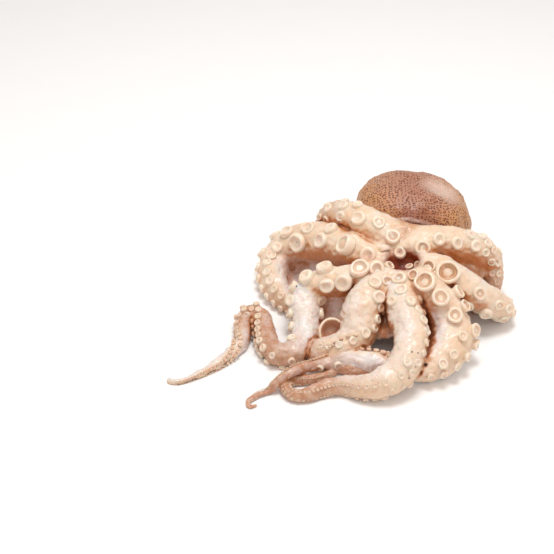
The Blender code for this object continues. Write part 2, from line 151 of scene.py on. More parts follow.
# Suckers that were set one by one: how far along the arm, the angle from the middle of its
# sucker side to the right, the diameter, and how open the cup is, from 0 to 1.
PLACED = {
    "right": [
        (11.9, -9, 5.2, 0.5), (18.5, -6, 8.4, 0.8), (22, 52, 6.5, 0.6), (27.6, -9, 13, 1),
        (35, 55, 8, 0.5), (45, 57, 7, 0.4), (45.1, -4, 7.6, 0.35), (55, 55, 7.9, 0.2),
        (58.3, 5, 5.8, 0.35), (65, 8, 5.2, 0.4), (66.5, 57, 5, 0.3),
    ],
    "back_right": [
        (9, -150, 6.6, 0.4), (13.2, 15, 8.9, 0.45), (18, -150, 7, 0.4), (21.9, 5, 7.7, 0.35),
        (27, -140, 6.8, 0.4), (31.5, 26, 7.3, 0.3), (36, -115, 6.4, 0.4), (39.5, 1, 5.6, 0.3),
        (42.5, 42, 7.5, 0.3), (45, -70, 6, 0.3), (46.4, 5, 5.6, 0.3), (49.4, 70, 5, 0.3),
        (49.9, 37, 5.6, 0.3), (52, -25, 5.4, 0.3), (54, 62, 5, 0.3), (57.3, 102, 4.4, 0.3),
        (60, 15, 5, 0.3), (61, 80, 5.1, 0.3), (67, 98, 3.8, 0.3), (68.6, 62, 4.4, 0.3),
        (74, 37, 3.8, 0.3), (78.1, 24, 3.5, 0.3),
    ],
    "back_left": [
        (4.5, 21, 7.5, 0.1), (9, 150, 6.6, 0.4), (12.9, 20, 9.3, 0.4), (18, 150, 7, 0.4),
        (21.7, 20, 8.4, 0.35), (27, 150, 6.8, 0.4), (30.6, 2, 8.7, 0.3), (36, 140, 6.4, 0.4),
        (37.3, 45, 6.3, 0.2), (42.3, -19, 6.9, 0.15), (44.3, 22, 6.4, 0.2), (49, 60, 5.6, 0.3),
        (54.4, 0, 5.7, 0.2), (54.9, -48, 5.2, 0.1),
    ],
    "left": [
        (16.4, -22, 9.5, 0.5), (27.6, -19, 13.1, 0.8), (42.4, 12, 8.2, 0.4),
        (44.5, -31, 10, 0.65), (59.5, 0, 8.3, 0.4), (65.3, -43, 10.9, 0.6), (75.3, -4, 8.4, 0.4),
    ],
    "hooked": [
        (6.1, 48, 6.2, 0.5), (10.6, -17, 5.8, 0.5), (15.6, -17, 8.5, 0.55), (23.2, 0, 10.4, 0.7),
        (31.8, -42, 9.7, 0.4), (40.1, -47, 8.5, 0.35), (41.1, 25, 9.8, 0.3), (50.3, 47, 9.5, 0.3),
        (55.6, -8, 6.2, 0.2), (57.6, 158, 7.5, 0.3), (63.5, -154, 6.2, 0.2), (69.7, 92, 6.2, 0.2),
        (70.7, -102, 6.2, 0.2), (81.2, 91, 5.7, 0.2), (82.1, -112, 5.7, 0.2),
        (89.7, 82, 5.4, 0.2), (97.5, 175, 5.4, 0.2),
    ],
    "front_left": [
        (20.1, 20, 6.9, 0.5), (23, -35, 6.5, 0.4), (25.4, 47, 7.8, 0.45), (30.3, 14, 7.8, 0.4),
        (33, -42, 6, 0.3), (35.2, -3, 5.4, 0.3), (41, -45, 5.5, 0.3), (44.2, 16, 5.1, 0.25),
        (48.7, 13, 4.8, 0.2), (49, -45, 5, 0.3),
    ],
    "front": [
        (19.8, 73, 8.1, 0.3), (27.9, 77, 7.5, 0.25), (30, 0, 6, 0.3), (32.8, 114, 6.5, 0.2),
        (36.3, 58, 6.2, 0.2), (38, -25, 6, 0.3), (42, 40, 5.3, 0.2), (46, -35, 5.5, 0.3),
        (48, 29, 5.3, 0.2), (53.4, 17, 5, 0.2), (54, -40, 5, 0.3), (59.4, 11, 4.6, 0.2),
        (62, -45, 5, 0.3), (65.9, 17, 4.6, 0.3), (70, -40, 4.5, 0.3), (71.3, 25, 4.3, 0.3),
        (74.3, 57, 5.1, 0.2), (76.3, 22, 4, 0.3), (78, -45, 4.5, 0.3), (80.9, 36, 4, 0.2),
        (82.3, -10, 3.5, 0.2), (86.9, -1, 3.5, 0.2),
    ],
    "front_right": [
        (10, 0, 5, 0.5), (19.7, 34, 7.2, 0.8), (27.6, 31, 12.5, 0.9), (35.7, 37, 11, 0.95),
        (37.8, -27, 9, 0.9), (44.4, -9, 7.8, 0.9), (50, 35, 8.3, 0.3), (56.9, -17, 7.7, 0.3),
        (59.9, -44, 6.5, 0.8), (65, 24, 5.8, 0.6), (68.6, -21, 5.8, 0.5), (74.3, 20, 5.8, 0.5),
        (74.8, -18, 5.3, 0.4), (79.5, 14, 5.5, 0.5), (80.5, -20, 4.6, 0.4), (84.9, -17, 4.1, 0.4),
    ],
}

# Further out they run in two rows that alternate: how far from the mouth these begin, the
# diameter of the widest in arm radii, the step to the next in diameters, and the angle
# from the middle of the arm's sucker side to each row.
SUCKER_ROWS = {
    "right": (70, 1.2, 0.62, 30),
    "back_right": (81, 1.1, 0.62, 30),
    "back_left": (60, 1.1, 0.62, 30),
    "left": (84, 1.25, 0.62, 32),
    "hooked": (104, 1.25, 0.62, 32),
    "front_left": (53, 1.0, 0.62, 30),
    "front": (88, 0.82, 0.58, 38),
    "front_right": (89, 0.95, 0.6, 35),
}
SUCKER_SLIMMER = 0.55
SUCKER_SMALLEST = 0.8

# The rounded masses: centre and half sizes.
MANTLE_CENTRE = np.array((44.8, 61.5, 25.2))
MANTLE_RADII = np.array((35.5, 32, 27.5))
MANTLE_DENT_FROM = np.array((0.55, 0.05, 0.84))
MANTLE_DENT_DEPTH = 6.0
MANTLE_DENT_WIDTH = 0.58
HEAD_CENTRE = np.array((38, 30, 19))
HEAD_RADII = np.array((24, 28, 20.5))
CROWN_CENTRE = np.array((31, -3, 13))
CROWN_RADII = np.array((25, 24, 18))
MANTLE_OPENING_CENTRE = HEAD_CENTRE - (0, 3, 0)
EYE_OFFSET = np.array((20.5, 0, 4))
EYE_RADIUS = 7.5
EYE_BALL = 5.2
EYE_FORWARD = 3.0
EYE_OPENING = np.array((3.2, 4.6, 2.6))
EYE_ROWS = 24
EYE_SEGMENTS = 48
PUPIL_WIDTH = 2.6
PUPIL_HEIGHT = 1.1
MOUTH_CENTRE = np.array((32.5, -9, 37))
MOUTH_RADII = np.array((9, 8, 8))
STUMP_CENTRE = np.array((-9.5, -37, 2))
STUMP_RADII = np.array((9.5, 9, 9))
STUMP_SUCKER_SIZE = 17.5
LOOSE_FOOT = np.array((-8.5, -39.5, 10))
LOOSE_FACING = np.array((0.25, -0.62, 0.72))

GRID_STEP = 0.7
GRID_MARGIN = 3.5
FAR = 40.0
CROWDING_REACH = 4.5
WIDE_REACH = 11.0
SOFT_BUMPS = 0.36
FINE_BUMPS = 0.15
FOLD_BUMPS = 0.15
# How each arm's skin is coloured: where along it the skin starts to turn reddish tan, has
# done so, starts to pale again and has done so, in arm lengths; then how strong the painted
# golden shade on its sides and underside is, how pale the side away from the suckers, and
# how lilac its outer part.
ARM_SKIN = {
    "right": (0.7, 1.1, 1.2, 1.3, 0.25, 0.3, 0.0),
    "back_right": (0.5, 0.9, 1.2, 1.3, 0.8, 0.2, 0.0),
    "back_left": (0.22, 0.6, 1.2, 1.3, 0.95, 0.2, 0.0),
    "left": (0.7, 1.3, 1.2, 1.3, 0.85, 0.65, 1.0),
    "hooked": (0.35, 0.5, 0.66, 0.8, 0.35, 0.8, 1.0),
    "front_left": (0.5, 0.9, 1.2, 1.3, 0.35, 0.35, 1.0),
    "front": (0.5, 0.72, 1.2, 1.3, 0.3, 0.5, 0.8),
    "front_right": (0.56, 0.76, 1.2, 1.3, 0.25, 0.9, 0.8),
}
TAIL_PALES_BY = 0.85
LILAC_FROM = (36, 48)
# How tan the inside of an arm's cups is, and of the cups on the arms that aren't listed.
CUP_TONE = {"right": 1.0, "front_right": 0.9, "hooked": 0.5, "loose": 1.0}
CUP_TONE_ELSEWHERE = 0.3
LEFT_ARMS = ("left", "hooked", "back_left")
MANTLE_STEP = 0.8
# The bag's rim: its gap from the head, how far out it is thickened (full and not at all,
# as shares of the opening's radius), and by how much.
MANTLE_LIP_GAP = 0.6
MANTLE_LIP_REACH = (1.14, 1.06)
MANTLE_LIP_HEIGHT = 0.7
MANTLE_FULLNESS = 2.5
MANTLE_MAP_AXIS = np.array((0.0, -0.31, 0.95))
MANTLE_MAP_AXIS /= np.linalg.norm(MANTLE_MAP_AXIS)
MANTLE_CREASE_AT = (66.0, 2.6)
MANTLE_CREASE_FROM_TO = (34.0, 62.0)
MANTLE_CREASE_DEPTH = 1.3
ROUTE_SPACING = 1.4

# How softly the shapes run into each other, near the mouth and further out.
CROWN_BLEND = 5.5
ARM_BLEND = 0.9
CROWN_BLEND_FADE = (20, 46)
WEB_COLUMNS = 6
WEB_ROW_SPACING = 1.0
WEB_EDGE_THINNING = 0.3
WEB_BLEND = 3.0
HEAD_BLEND = 8.0
EYE_BLEND = 4.0
MOUTH_BLEND = 2.5
FLOOR_BLEND = 1.2

# Suckers: stalks under the larger ones, and how much one differs from the next.
STALK_FROM = 1.5
STALK_WIDTH = 0.92
STALK_BLEND = 0.8
SUCKER_TILT = 0.13
SETTLE_REACH = 9.0
# How far a sucker stands out of its arm, in its own radii, for the arms where it differs
# from the rest, and how much narrower than its rim the waist of a tall one is.
SUCKER_RISE = {"right": 0.08, "left": 0.08, "hooked": 0.3, "front_right": 0.42}
LOW_RISE = -0.06
TALL_WAIST = 0.14
SUCKER_SIZE_RANGE = (0.92, 1.08)
TAIL_OPENNESS = 0.4
GRITTY_FROM = 0.85

# Loose dark grains: where each one lies and its radius.
GRIT = [
    (40.9, -72.5, 13.5, 1.0), (-27.8, -13.4, 24.4, 0.75), (-28.6, -11.8, 24.6, 0.45),
    (32.6, -75.6, 24.1, 0.6), (35.9, -75.0, 22.9, 0.4), (34.3, -81.1, 18.3, 0.5),
    (30.7, -85.2, 14.1, 0.55),
]
RED_CUPS = (28, 13)

# Colours, as 0 to 255 values.
CREAM = (242, 223, 204)
PEACH = (236, 204, 174)
BLUE_WHITE = (236, 230, 229)
# Painted golden shade for skin that turns away from facing up.
UNDERSIDE_SHADE_GOLD = (224, 166, 110)
WEB_LILAC = (214, 198, 196)
WEB_BROWN = (206, 150, 108)
TAIL_TAN = (190, 132, 98)
WART_PALE = (236, 200, 172)
# Orange for painted shade where skin faces down, under the arms and in folds, and for the skin's own small
# specks.
SHADE_AND_SPECK_ORANGE = (202, 126, 70)
# Painted shade deep in folds and hollows.
DEEP_SHADE_BROWN = (122, 60, 30)
# The mouth's red, darkened as painted shade for its hollow.
MOUTH_RED_IN_SHADE = (136, 36, 6)
# Pale sucker rims, and a painted highlight in the middles of the cups.
RIM_AND_HIGHLIGHT_WHITE = (243, 225, 205)
CUP_TAN = (216, 172, 134)
CUP_LINE = (172, 122, 86)
CUP_RED = (160, 84, 52)
MANTLE_TAN = (206, 150, 102)
MANTLE_PINK = (158, 94, 66)
# Painted highlight where the back faces up.
MANTLE_LIT_TOP = (190, 140, 116)
# Painted shade where the back faces down.
MANTLE_SHADED_LOW = (146, 80, 50)
MANTLE_SPOT = (96, 38, 24)
# Pale rim of the bag, and a painted highlight on its sunken place.
MANTLE_LIP_AND_HIGHLIGHT_PALE = (232, 206, 192)

FLOOR_SIZE = 8.0
CAMERA_LENS = 85
CAMERA_TARGET = (-38.9, 34.3, 0)
CAMERA_DISTANCE = 797.9
CAMERA_ELEVATION = 33
WORLD_STRENGTH = 0.64
KEY_POWER = 4.4
FILL_POWER = 0.9


# ---- Arm routes -------------------------------------------------------------------------

def catmull_rom(before, start, end, after, t):
    """Points between start and end on the smooth curve through all four."""
    t = t[:, None]
    return 0.5 * (
        2 * start + (end - before) * t + (2 * before - 5 * start + 4 * end - after) * t**2
        + (3 * start - before - 3 * end + after) * t**3
    )


class Arm:
    """One arm as evenly spaced rings: centre, radius, lean, direction and length so far."""

    def __init__(self, name):
        points = np.array(ARMS[name], float)
        points[:, 2] = np.maximum(points[:, 2], points[:, 3] - FLOOR_PRESS)
        last = len(points) - 1
        pieces = []
        for i in range(last):
            span = np.linalg.norm(points[i + 1, :3] - points[i, :3])
            t = np.linspace(0, 1, max(2, round(span / ROUTE_SPACING)) + 1)[:-1]
            before = points[max(i - 1, 0)]
            after = points[min(i + 2, last)]
            pieces.append(catmull_rom(before, points[i], points[i + 1], after, t))
        rings = np.vstack(pieces + [points[-1:]])
        steps = np.linalg.norm(np.diff(rings[:, :3], axis=0), axis=1)
        self.name = name
        self.centre = rings[:, :3]
        self.radius = rings[:, 3]
        self.lean = np.radians(rings[:, 4])
        self.travelled = np.concatenate(([0], np.cumsum(steps)))
        self.length = self.travelled[-1]
        ahead = np.gradient(self.centre, axis=0)
        self.ahead = ahead / np.linalg.norm(ahead, axis=1, keepdims=True)
        top = UP - self.ahead * self.ahead[:, 2:]
        self.top = top / np.linalg.norm(top, axis=1, keepdims=True)
        self.right = np.cross(self.ahead, self.top)
        turn = self.lean[:, None]
        self.oral = self.top * np.cos(turn) + self.right * np.sin(turn)

    def at(self, distance, values):
        """Ring values at a distance along the arm."""
        if values.ndim == 1:
            return np.interp(distance, self.travelled, values)
        return np.array([np.interp(distance, self.travelled, column) for column in values.T])


# ---- Distance field ---------------------------------------------------------------------

def smooth_max(a, b, blend):
    return -smooth_min(-a, -b, blend)


def smooth_min(a, b, blend):
    """The nearer of two distances, with a fillet about as wide as blend."""
    overlap = np.maximum(blend - np.abs(a - b), 0) / blend
    return np.minimum(a, b) - overlap * overlap * blend / 4


def between_cells(values, place):
    """Grid values at places given in cells, mixed from the eight cells around each."""
    place = np.clip(place, 0, np.array(values.shape) - 1.001)
    cell = place.astype(int)
    t = place - cell
    total = np.zeros(len(place))
    for corner in range(8):
        step = np.array([(corner >> k) & 1 for k in range(3)])
        weight = np.prod(np.where(step, t, 1 - t), axis=1)
        total += weight * values[tuple((cell + step).T)]
    return total


class Field:
    """Signed distance on a regular grid, negative inside."""

    def __init__(self, low, high, step):
        self.low = np.asarray(low, float)
        self.step = step
        self.shape = tuple(int(n) for n in np.ceil((np.asarray(high) - low) / step) + 1)
        self.values = np.full(self.shape, FAR, np.float32)

    def blank(self):
        """An empty field on the same grid."""
        other = copy.copy(self)
        other.values = np.full(self.shape, FAR, np.float32)
        return other

    def window(self, low, high):
        """The part of the grid between two corners, as slices and coordinates."""
        first = np.maximum(np.floor((low - self.low) / self.step).astype(int), 0)
        last = np.minimum(np.ceil((high - self.low) / self.step).astype(int) + 1, self.shape)
        part = tuple(slice(a, max(a, b)) for a, b in zip(first, last))
        axes = [self.low[k] + self.step * np.arange(part[k].start, part[k].stop) for k in range(3)]
        x, y, z = (axis.astype(np.float32) for axis in axes)
        return part, x[:, None, None], y[None, :, None], z[None, None, :]

    def all_axes(self):
        """The coordinates of the whole grid."""
        return self.window(self.low, self.low + self.step * np.array(self.shape))[1:]

    def add_capsule(self, start, end, start_radius, end_radius, blend=0.0, reach=5.0):
        """Join a tapered rod to the field."""
        pad = max(start_radius, end_radius) + reach
        part, x, y, z = self.window(np.minimum(start, end) - pad, np.maximum(start, end) + pad)
        way = end - start
        along = (x - start[0]) * way[0] + (y - start[1]) * way[1] + (z - start[2]) * way[2]
        t = np.clip(along / max(float(way @ way), 1e-6), 0, 1)
        off_x = x - start[0] - way[0] * t
        off_y = y - start[1] - way[1] * t
        off_z = z - start[2] - way[2] * t
        distance = np.sqrt(off_x**2 + off_y**2 + off_z**2)
        distance -= start_radius + (end_radius - start_radius) * t
        here = self.values[part]
        if blend:
            self.values[part] = smooth_min(here, distance, blend)
        else:
            np.minimum(here, distance, out=here)

    def add(self, distance, blend):
        self.values = smooth_min(self.values, distance, blend)

    def cut(self, distance, blend):
        """Take away what another shape holds."""
        self.values = smooth_max(self.values, -distance, blend)

    def at(self, points):
        return between_cells(self.values, (points - self.low) / self.step)

    def surface(self):
        """The points and four-sided faces of the surface, with the faces outward."""
        grid = openvdb.FloatGrid(FAR)
        grid.copyFromArray(np.ascontiguousarray(self.values), tolerance=0.0)
        points, quads = grid.convertToQuads(0.0)
        points = np.asarray(points, float) * self.step + self.low
        return points, np.asarray(quads, int)


def ellipsoid(axes, centre, radii):
    """Approximate signed distance to an ellipsoid."""
    offsets = [(axis - c) for axis, c in zip(axes, centre)]
    scaled = np.sqrt(sum((o / r) ** 2 for o, r in zip(offsets, radii)))
    steeper = np.sqrt(sum((o / r**2) ** 2 for o, r in zip(offsets, radii)))
    return (scaled * (scaled - 1) / np.maximum(steeper, 1e-6)).astype(np.float32)


def smooth_step(low, high, value):
    t = np.clip((value - low) / (high - low), 0, 1)
    return t * t * (3 - 2 * t)


# ---- Flesh ------------------------------------------------------------------------------

def fill_arms(field, arms):
    """Each arm in a field of its own, joined softly at the crown and crisply further out."""
    axes = field.all_axes()
    apart = np.sqrt(sum((axis - c) ** 2 for axis, c in zip(axes, CROWN_CENTRE)))
    blend = CROWN_BLEND + (ARM_BLEND - CROWN_BLEND) * smooth_step(*CROWN_BLEND_FADE, apart)
    for arm in arms:
        alone = field.blank()
        for k in range(len(arm.radius) - 1):
            ends = arm.centre[k], arm.centre[k + 1]
            alone.add_capsule(*ends, arm.radius[k], arm.radius[k + 1])
        field.values = smooth_min(field.values, alone.values, blend)


def fill_web(field, arms):
    """The membrane between neighbours, as rows of short rods that sag between two arms."""
    named = {arm.name: arm for arm in arms}
    sheet = field.blank()
    across = np.linspace(0, 1, WEB_COLUMNS + 1)[:, None]
    for names, (*reaches, rise, slack) in WEBS.items():
        first, second = (named[name] for name in names)
        rows = int(max(reaches) / WEB_ROW_SPACING)
        for part in np.linspace(0, 1, rows):
            ends = []
            for arm, reach in zip((first, second), reaches):
                centre = arm.at(reach * part, arm.centre)
                radius = arm.at(reach * part, arm.radius)
                ends.append(centre + UP * rise * radius)
            sag = slack * np.linalg.norm(ends[1] - ends[0])
            line = ends[0] + (ends[1] - ends[0]) * across - UP * sag * np.sin(np.pi * across)
            half = WEB_THICKNESS / 2 * (1 - WEB_EDGE_THINNING * part)
            line[:, 2] = np.maximum(line[:, 2], half)
            for start, end in zip(line, line[1:]):
                sheet.add_capsule(start, end, half, half)
    field.add(sheet.values, WEB_BLEND)


def fill_body(field):
    """The crown under the mouth, the head, the eye mounds and the stalk of the loose sucker."""
    axes = field.all_axes()
    field.add(ellipsoid(axes, CROWN_CENTRE, CROWN_RADII), CROWN_BLEND)
    head = ellipsoid(axes, HEAD_CENTRE, HEAD_RADII)
    for side in (-1, 1):
        eye = HEAD_CENTRE + EYE_OFFSET * (side, 1, 1)
        head = smooth_min(head, ellipsoid(axes, eye, np.full(3, EYE_RADIUS)), EYE_BLEND)
    field.add(head, HEAD_BLEND)
    for side in (-1, 1):
        centre, outward = eye_place(side)
        field.cut(ellipsoid(axes, centre + outward * EYE_RADIUS, EYE_OPENING), 0.8)
    field.add(ellipsoid(axes, STUMP_CENTRE, STUMP_RADII), WEB_BLEND)
    field.cut(ellipsoid(axes, MOUTH_CENTRE, MOUTH_RADII), MOUTH_BLEND)


def ripple(points, wavelength, seed, waves=20):
    """Soft uneven waves through space, mostly between -1 and 1."""
    rng = np.random.default_rng(seed)
    ways = rng.normal(size=(waves, 3))
    ways /= np.linalg.norm(ways, axis=1, keepdims=True)
    pitch = 2 * np.pi / (wavelength * rng.uniform(0.7, 1.5, waves))
    phase = rng.uniform(0, 2 * np.pi, waves)
    return np.sin(points @ (ways * pitch[:, None]).T + phase).sum(axis=1) / math.sqrt(waves)


def corner_normals(points, quads):
    """Smooth outward directions at the points of a closed surface."""
    a, b, c, d = (points[quads[:, k]] for k in range(4))
    face = np.cross(c - a, d - b)
    normals = np.zeros_like(points)
    for k in range(4):
        np.add.at(normals, quads[:, k], face)
    return normals / np.maximum(np.linalg.norm(normals, axis=1, keepdims=True), 1e-9)


class Crowding:
    """How much flesh is near a place, from 0 in the open to 1 deep inside."""

    def __init__(self, field, reach):
        held = np.clip(0.5 - field.values / field.step, 0, 1)
        width = int(round(reach / field.step))
        for axis in range(3):
            held = self.smear(held, axis, width)
        self.held = held
        self.low = field.low
        self.step = field.step

    @staticmethod
    def smear(values, axis, width):
        """Running mean over 2 width + 1 cells."""
        padding = [(0, 0)] * 3
        padding[axis] = (width + 1, width)
        total = np.cumsum(np.pad(values, padding, mode="edge"), axis=axis, dtype=np.float64)
        size = values.shape[axis]
        ahead = np.take(total, np.arange(2 * width + 1, 2 * width + 1 + size), axis=axis)
        behind = np.take(total, np.arange(size), axis=axis)
        return ((ahead - behind) / (2 * width + 1)).astype(np.float32)

    def at(self, points):
        return between_cells(self.held, (points - self.low) / self.step)


# ---- Meshes -----------------------------------------------------------------------------

def add_piece(name, points, faces, material, attributes):
    """A smooth mesh in metres, with point attributes, that rides on the octopus's body."""
    mesh = bpy.data.meshes.new(name)
    mesh.from_pydata((points * MM).tolist(), [], faces, shade_flat=False)
    for key, values in attributes.items():
        values = np.asarray(values, np.float32)
        if values.ndim == 1:
            mesh.attributes.new(key, "FLOAT", "POINT").data.foreach_set("value", values)
        else:
            layer = mesh.attributes.new(key, "FLOAT_VECTOR", "POINT")
            layer.data.foreach_set("vector", values.ravel())
    mesh.materials.append(material)
    piece = bpy.data.objects.new(name, mesh)
    bpy.context.scene.collection.objects.link(piece)
    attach(piece, "root")
    return piece


# ---- Suckers ----------------------------------------------------------------------------

# Profiles of a sucker of radius 1, as radius and height above the skin: from the foot of
# the stalk out over the rim, down the funnel and into the hole.
OPEN_CUP = np.array([
    (0.98, -0.45), (0.99, -0.28), (1.00, -0.12), (1.00, 0.02), (1.00, 0.13), (0.985, 0.23),
    (0.955, 0.31), (0.91, 0.37), (0.85, 0.40), (0.79, 0.395), (0.735, 0.355), (0.69, 0.29),
    (0.65, 0.215), (0.60, 0.155), (0.53, 0.115), (0.45, 0.09), (0.37, 0.075), (0.29, 0.075),
    (0.22, 0.085), (0.15, 0.10), (0.08, 0.11), (0.02, 0.11),
])
SHUT_CUP = np.array([
    (0.98, -0.45), (0.99, -0.28), (1.00, -0.12), (1.00, 0.03), (0.985, 0.15), (0.955, 0.26),
    (0.91, 0.35), (0.85, 0.415), (0.77, 0.455), (0.68, 0.465), (0.59, 0.445), (0.51, 0.41),
    (0.45, 0.375), (0.39, 0.345), (0.33, 0.325), (0.28, 0.31), (0.235, 0.29), (0.20, 0.26),
    (0.17, 0.235), (0.13, 0.22), (0.07, 0.215), (0.02, 0.215),
])
THIN_CUP = np.array([
    (0.50, -0.60), (0.58, -0.40), (0.66, -0.20), (0.76, 0.0), (0.86, 0.18), (0.93, 0.34),
    (0.98, 0.46), (1.00, 0.56), (0.99, 0.64), (0.95, 0.69), (0.88, 0.69), (0.81, 0.62),
    (0.75, 0.50), (0.70, 0.38), (0.64, 0.26), (0.57, 0.16), (0.49, 0.09), (0.40, 0.05),
    (0.31, 0.05), (0.22, 0.08), (0.12, 0.10), (0.02, 0.10),
])
RIM_ROWS = (4, 12)
WAIST_ROWS = (-4, 4.5)
FUNNEL_ROWS = (9, 16)
GROOVES = 16
# Rows and segments of a sucker's mesh, from its radius up.
SUCKER_DETAIL = [(3.6, 36, 36), (1.6, 22, 24), (0.0, 11, 12)]


class Sucker:
    """One sucker: where it sits, which way it faces, and its own uneven shape."""

    def __init__(self, foot, direction, ahead, radius, openness, rng):
        tilt = rng.normal(0, SUCKER_TILT, 3)
        facing = direction + tilt - direction * (tilt @ direction)
        self.facing = facing / np.linalg.norm(facing)
        side = np.cross(self.facing, ahead)
        self.side = side / np.linalg.norm(side)
        self.ahead = np.cross(self.side, self.facing)
        self.foot = foot
        self.direction = direction
        self.radius = radius * rng.uniform(*SUCKER_SIZE_RANGE)
        self.openness = np.clip(openness + rng.normal(0, 0.18), 0, 1)
        self.phases = rng.uniform(0, 2 * np.pi, 6)
        self.stretch = rng.uniform(0.0, 0.09)
        self.tone = CUP_TONE_ELSEWHERE * rng.uniform(0.5, 1)
        self.rise = LOW_RISE
        self.waist = 0.0
        self.profile = SHUT_CUP + (OPEN_CUP - SHUT_CUP) * self.openness**1.6

    def settle(self, field, arm_radius):
        """Move the foot out to where the flesh ends, in case arms run together here."""
        further = np.arange(-0.5 * arm_radius, SETTLE_REACH, 0.2)
        points = self.foot + further[:, None] * self.direction
        outside = np.flatnonzero(field.at(points) > 0)
        if len(outside):
            self.foot = points[outside[0]] + self.direction * self.rise * self.radius


def arm_suckers(arm):
    """The suckers set one by one, then two alternating rows to the tip."""
    rng = np.random.default_rng(sum(map(ord, arm.name)))
    spots = list(PLACED[arm.name])
    distance, width, step, spread = SUCKER_ROWS[arm.name]
    side = 1
    while distance < arm.length - 0.5:
        diameter = width * SUCKER_SLIMMER * float(arm.at(distance, arm.radius))
        if diameter > SUCKER_SMALLEST:
            spots.append((distance, side * spread, diameter, TAIL_OPENNESS))
        distance += step * diameter
        side = -side
    placed = []
    for distance, angle, diameter, openness in spots:
        turn = arm.at(distance, arm.lean) + math.radians(angle)
        top, right = arm.at(distance, arm.top), arm.at(distance, arm.right)
        direction = top * np.cos(turn) + right * np.sin(turn)
        foot = arm.at(distance, arm.centre) + direction * arm.at(distance, arm.radius)
        ahead = arm.at(distance, arm.ahead)
        placed.append(Sucker(foot, direction, ahead, diameter / 2, openness, rng))
    return placed


def loose_sucker():
    """The big cup that stands apart, low between two arms."""
    rng = np.random.default_rng(5)
    facing = LOOSE_FACING / np.linalg.norm(LOOSE_FACING)
    ahead = np.cross(facing, (0.0, 1.0, 0.0))
    sucker = Sucker(LOOSE_FOOT, facing, ahead / np.linalg.norm(ahead), STUMP_SUCKER_SIZE / 2, 1, rng)
    sucker.profile = THIN_CUP
    sucker.tone = CUP_TONE["loose"]
    return sucker


def fill_stalks(field, suckers):
    """Raise the skin under each sucker that is wide enough to show its stalk."""
    for sucker in suckers:
        if sucker.radius < STALK_FROM:
            continue
        start = sucker.foot - sucker.direction * 1.5 * sucker.radius
        end = sucker.foot - sucker.direction * 0.84 * sucker.radius
        wide = STALK_WIDTH * sucker.radius
        field.add_capsule(start, end, wide, wide * 0.9, STALK_BLEND * sucker.radius)


def sucker_mesh(sucker):
    """Points, faces and shading attributes of one turned, slightly uneven cup."""
    rows, segments = next(detail[1:] for detail in SUCKER_DETAIL if sucker.radius >= detail[0])
    stations = np.linspace(0, len(OPEN_CUP) - 1, rows)
    given = np.arange(len(OPEN_CUP))
    waist = 1 - sucker.waist * window(stations, *WAIST_ROWS)
    across = (np.interp(stations, given, sucker.profile[:, 0]) * waist)[:, None]
    height = np.interp(stations, given, sucker.profile[:, 1])[:, None]
    angle = np.linspace(0, 2 * np.pi, segments, endpoint=False)[None, :]
    a, b, c, d, e, f = sucker.phases
    on_rim = window(stations, *RIM_ROWS)[:, None]
    in_funnel = window(stations, *FUNNEL_ROWS)[:, None]
    across = across * (1 + 0.035 * np.cos(2 * angle + a) + 0.022 * np.cos(3 * angle + b)
                       + 0.012 * np.cos(5 * angle + c))
    height = height + on_rim * (0.045 * np.cos(2 * angle + d) + 0.03 * np.cos(3 * angle + e))
    height = height + in_funnel * 0.02 * np.cos(GROOVES * angle + f) * sucker.openness
    x = across * np.cos(angle) * (1 + sucker.stretch)
    y = across * np.sin(angle)
    local = np.stack((x, y, height + 0 * angle), axis=-1).reshape(-1, 3) * sucker.radius
    frame_of = np.stack((sucker.ahead, sucker.side, sucker.facing))
    points = sucker.foot + local @ frame_of
    index = np.arange(rows * segments).reshape(rows, segments)
    beside = np.roll(index, -1, axis=1)
    quads = np.stack((index[:-1], beside[:-1], beside[1:], index[1:]), axis=-1).reshape(-1, 4)
    caps = [index[0, ::-1].tolist(), index[-1].tolist()]
    zone = np.repeat(stations / (len(OPEN_CUP) - 1), segments)
    tone = np.full(rows * segments, sucker.tone)
    return points, quads.tolist() + caps, zone, tone


def window(values, low, high):
    """1 in the middle of a range, 0 at its ends and outside."""
    t = np.clip((values - low) / (high - low), 0, 1)
    return np.sin(np.pi * t)


def add_suckers(name, suckers, material, crowding):
    """All of one arm's suckers as one joined mesh."""
    points, faces, zones, tones, sizes = [], [], [], [], []
    first = 0
    for sucker in suckers:
        own_points, own_faces, zone, tone = sucker_mesh(sucker)
        points.append(own_points)
        faces += [[first + corner for corner in face] for face in own_faces]
        zones.append(zone)
        tones.append(tone)
        sizes.append(np.full(len(own_points), sucker.radius))
        first += len(own_points)
    points = np.vstack(points)
    points[:, 2] = np.maximum(points[:, 2], 0.05)
    redness = smooth_step(*RED_CUPS, np.linalg.norm(points - MOUTH_CENTRE, axis=1))
    if name == "suckers_loose":
        redness[:] = 1
    attributes = {
        "zone": np.concatenate(zones),
        "tone": np.concatenate(tones),
        "crowded": crowding.at(points),
        "size": np.concatenate(sizes),
        "red": redness,
    }
    return add_piece(name, points, faces, material, attributes)


# ---- Skin -------------------------------------------------------------------------------

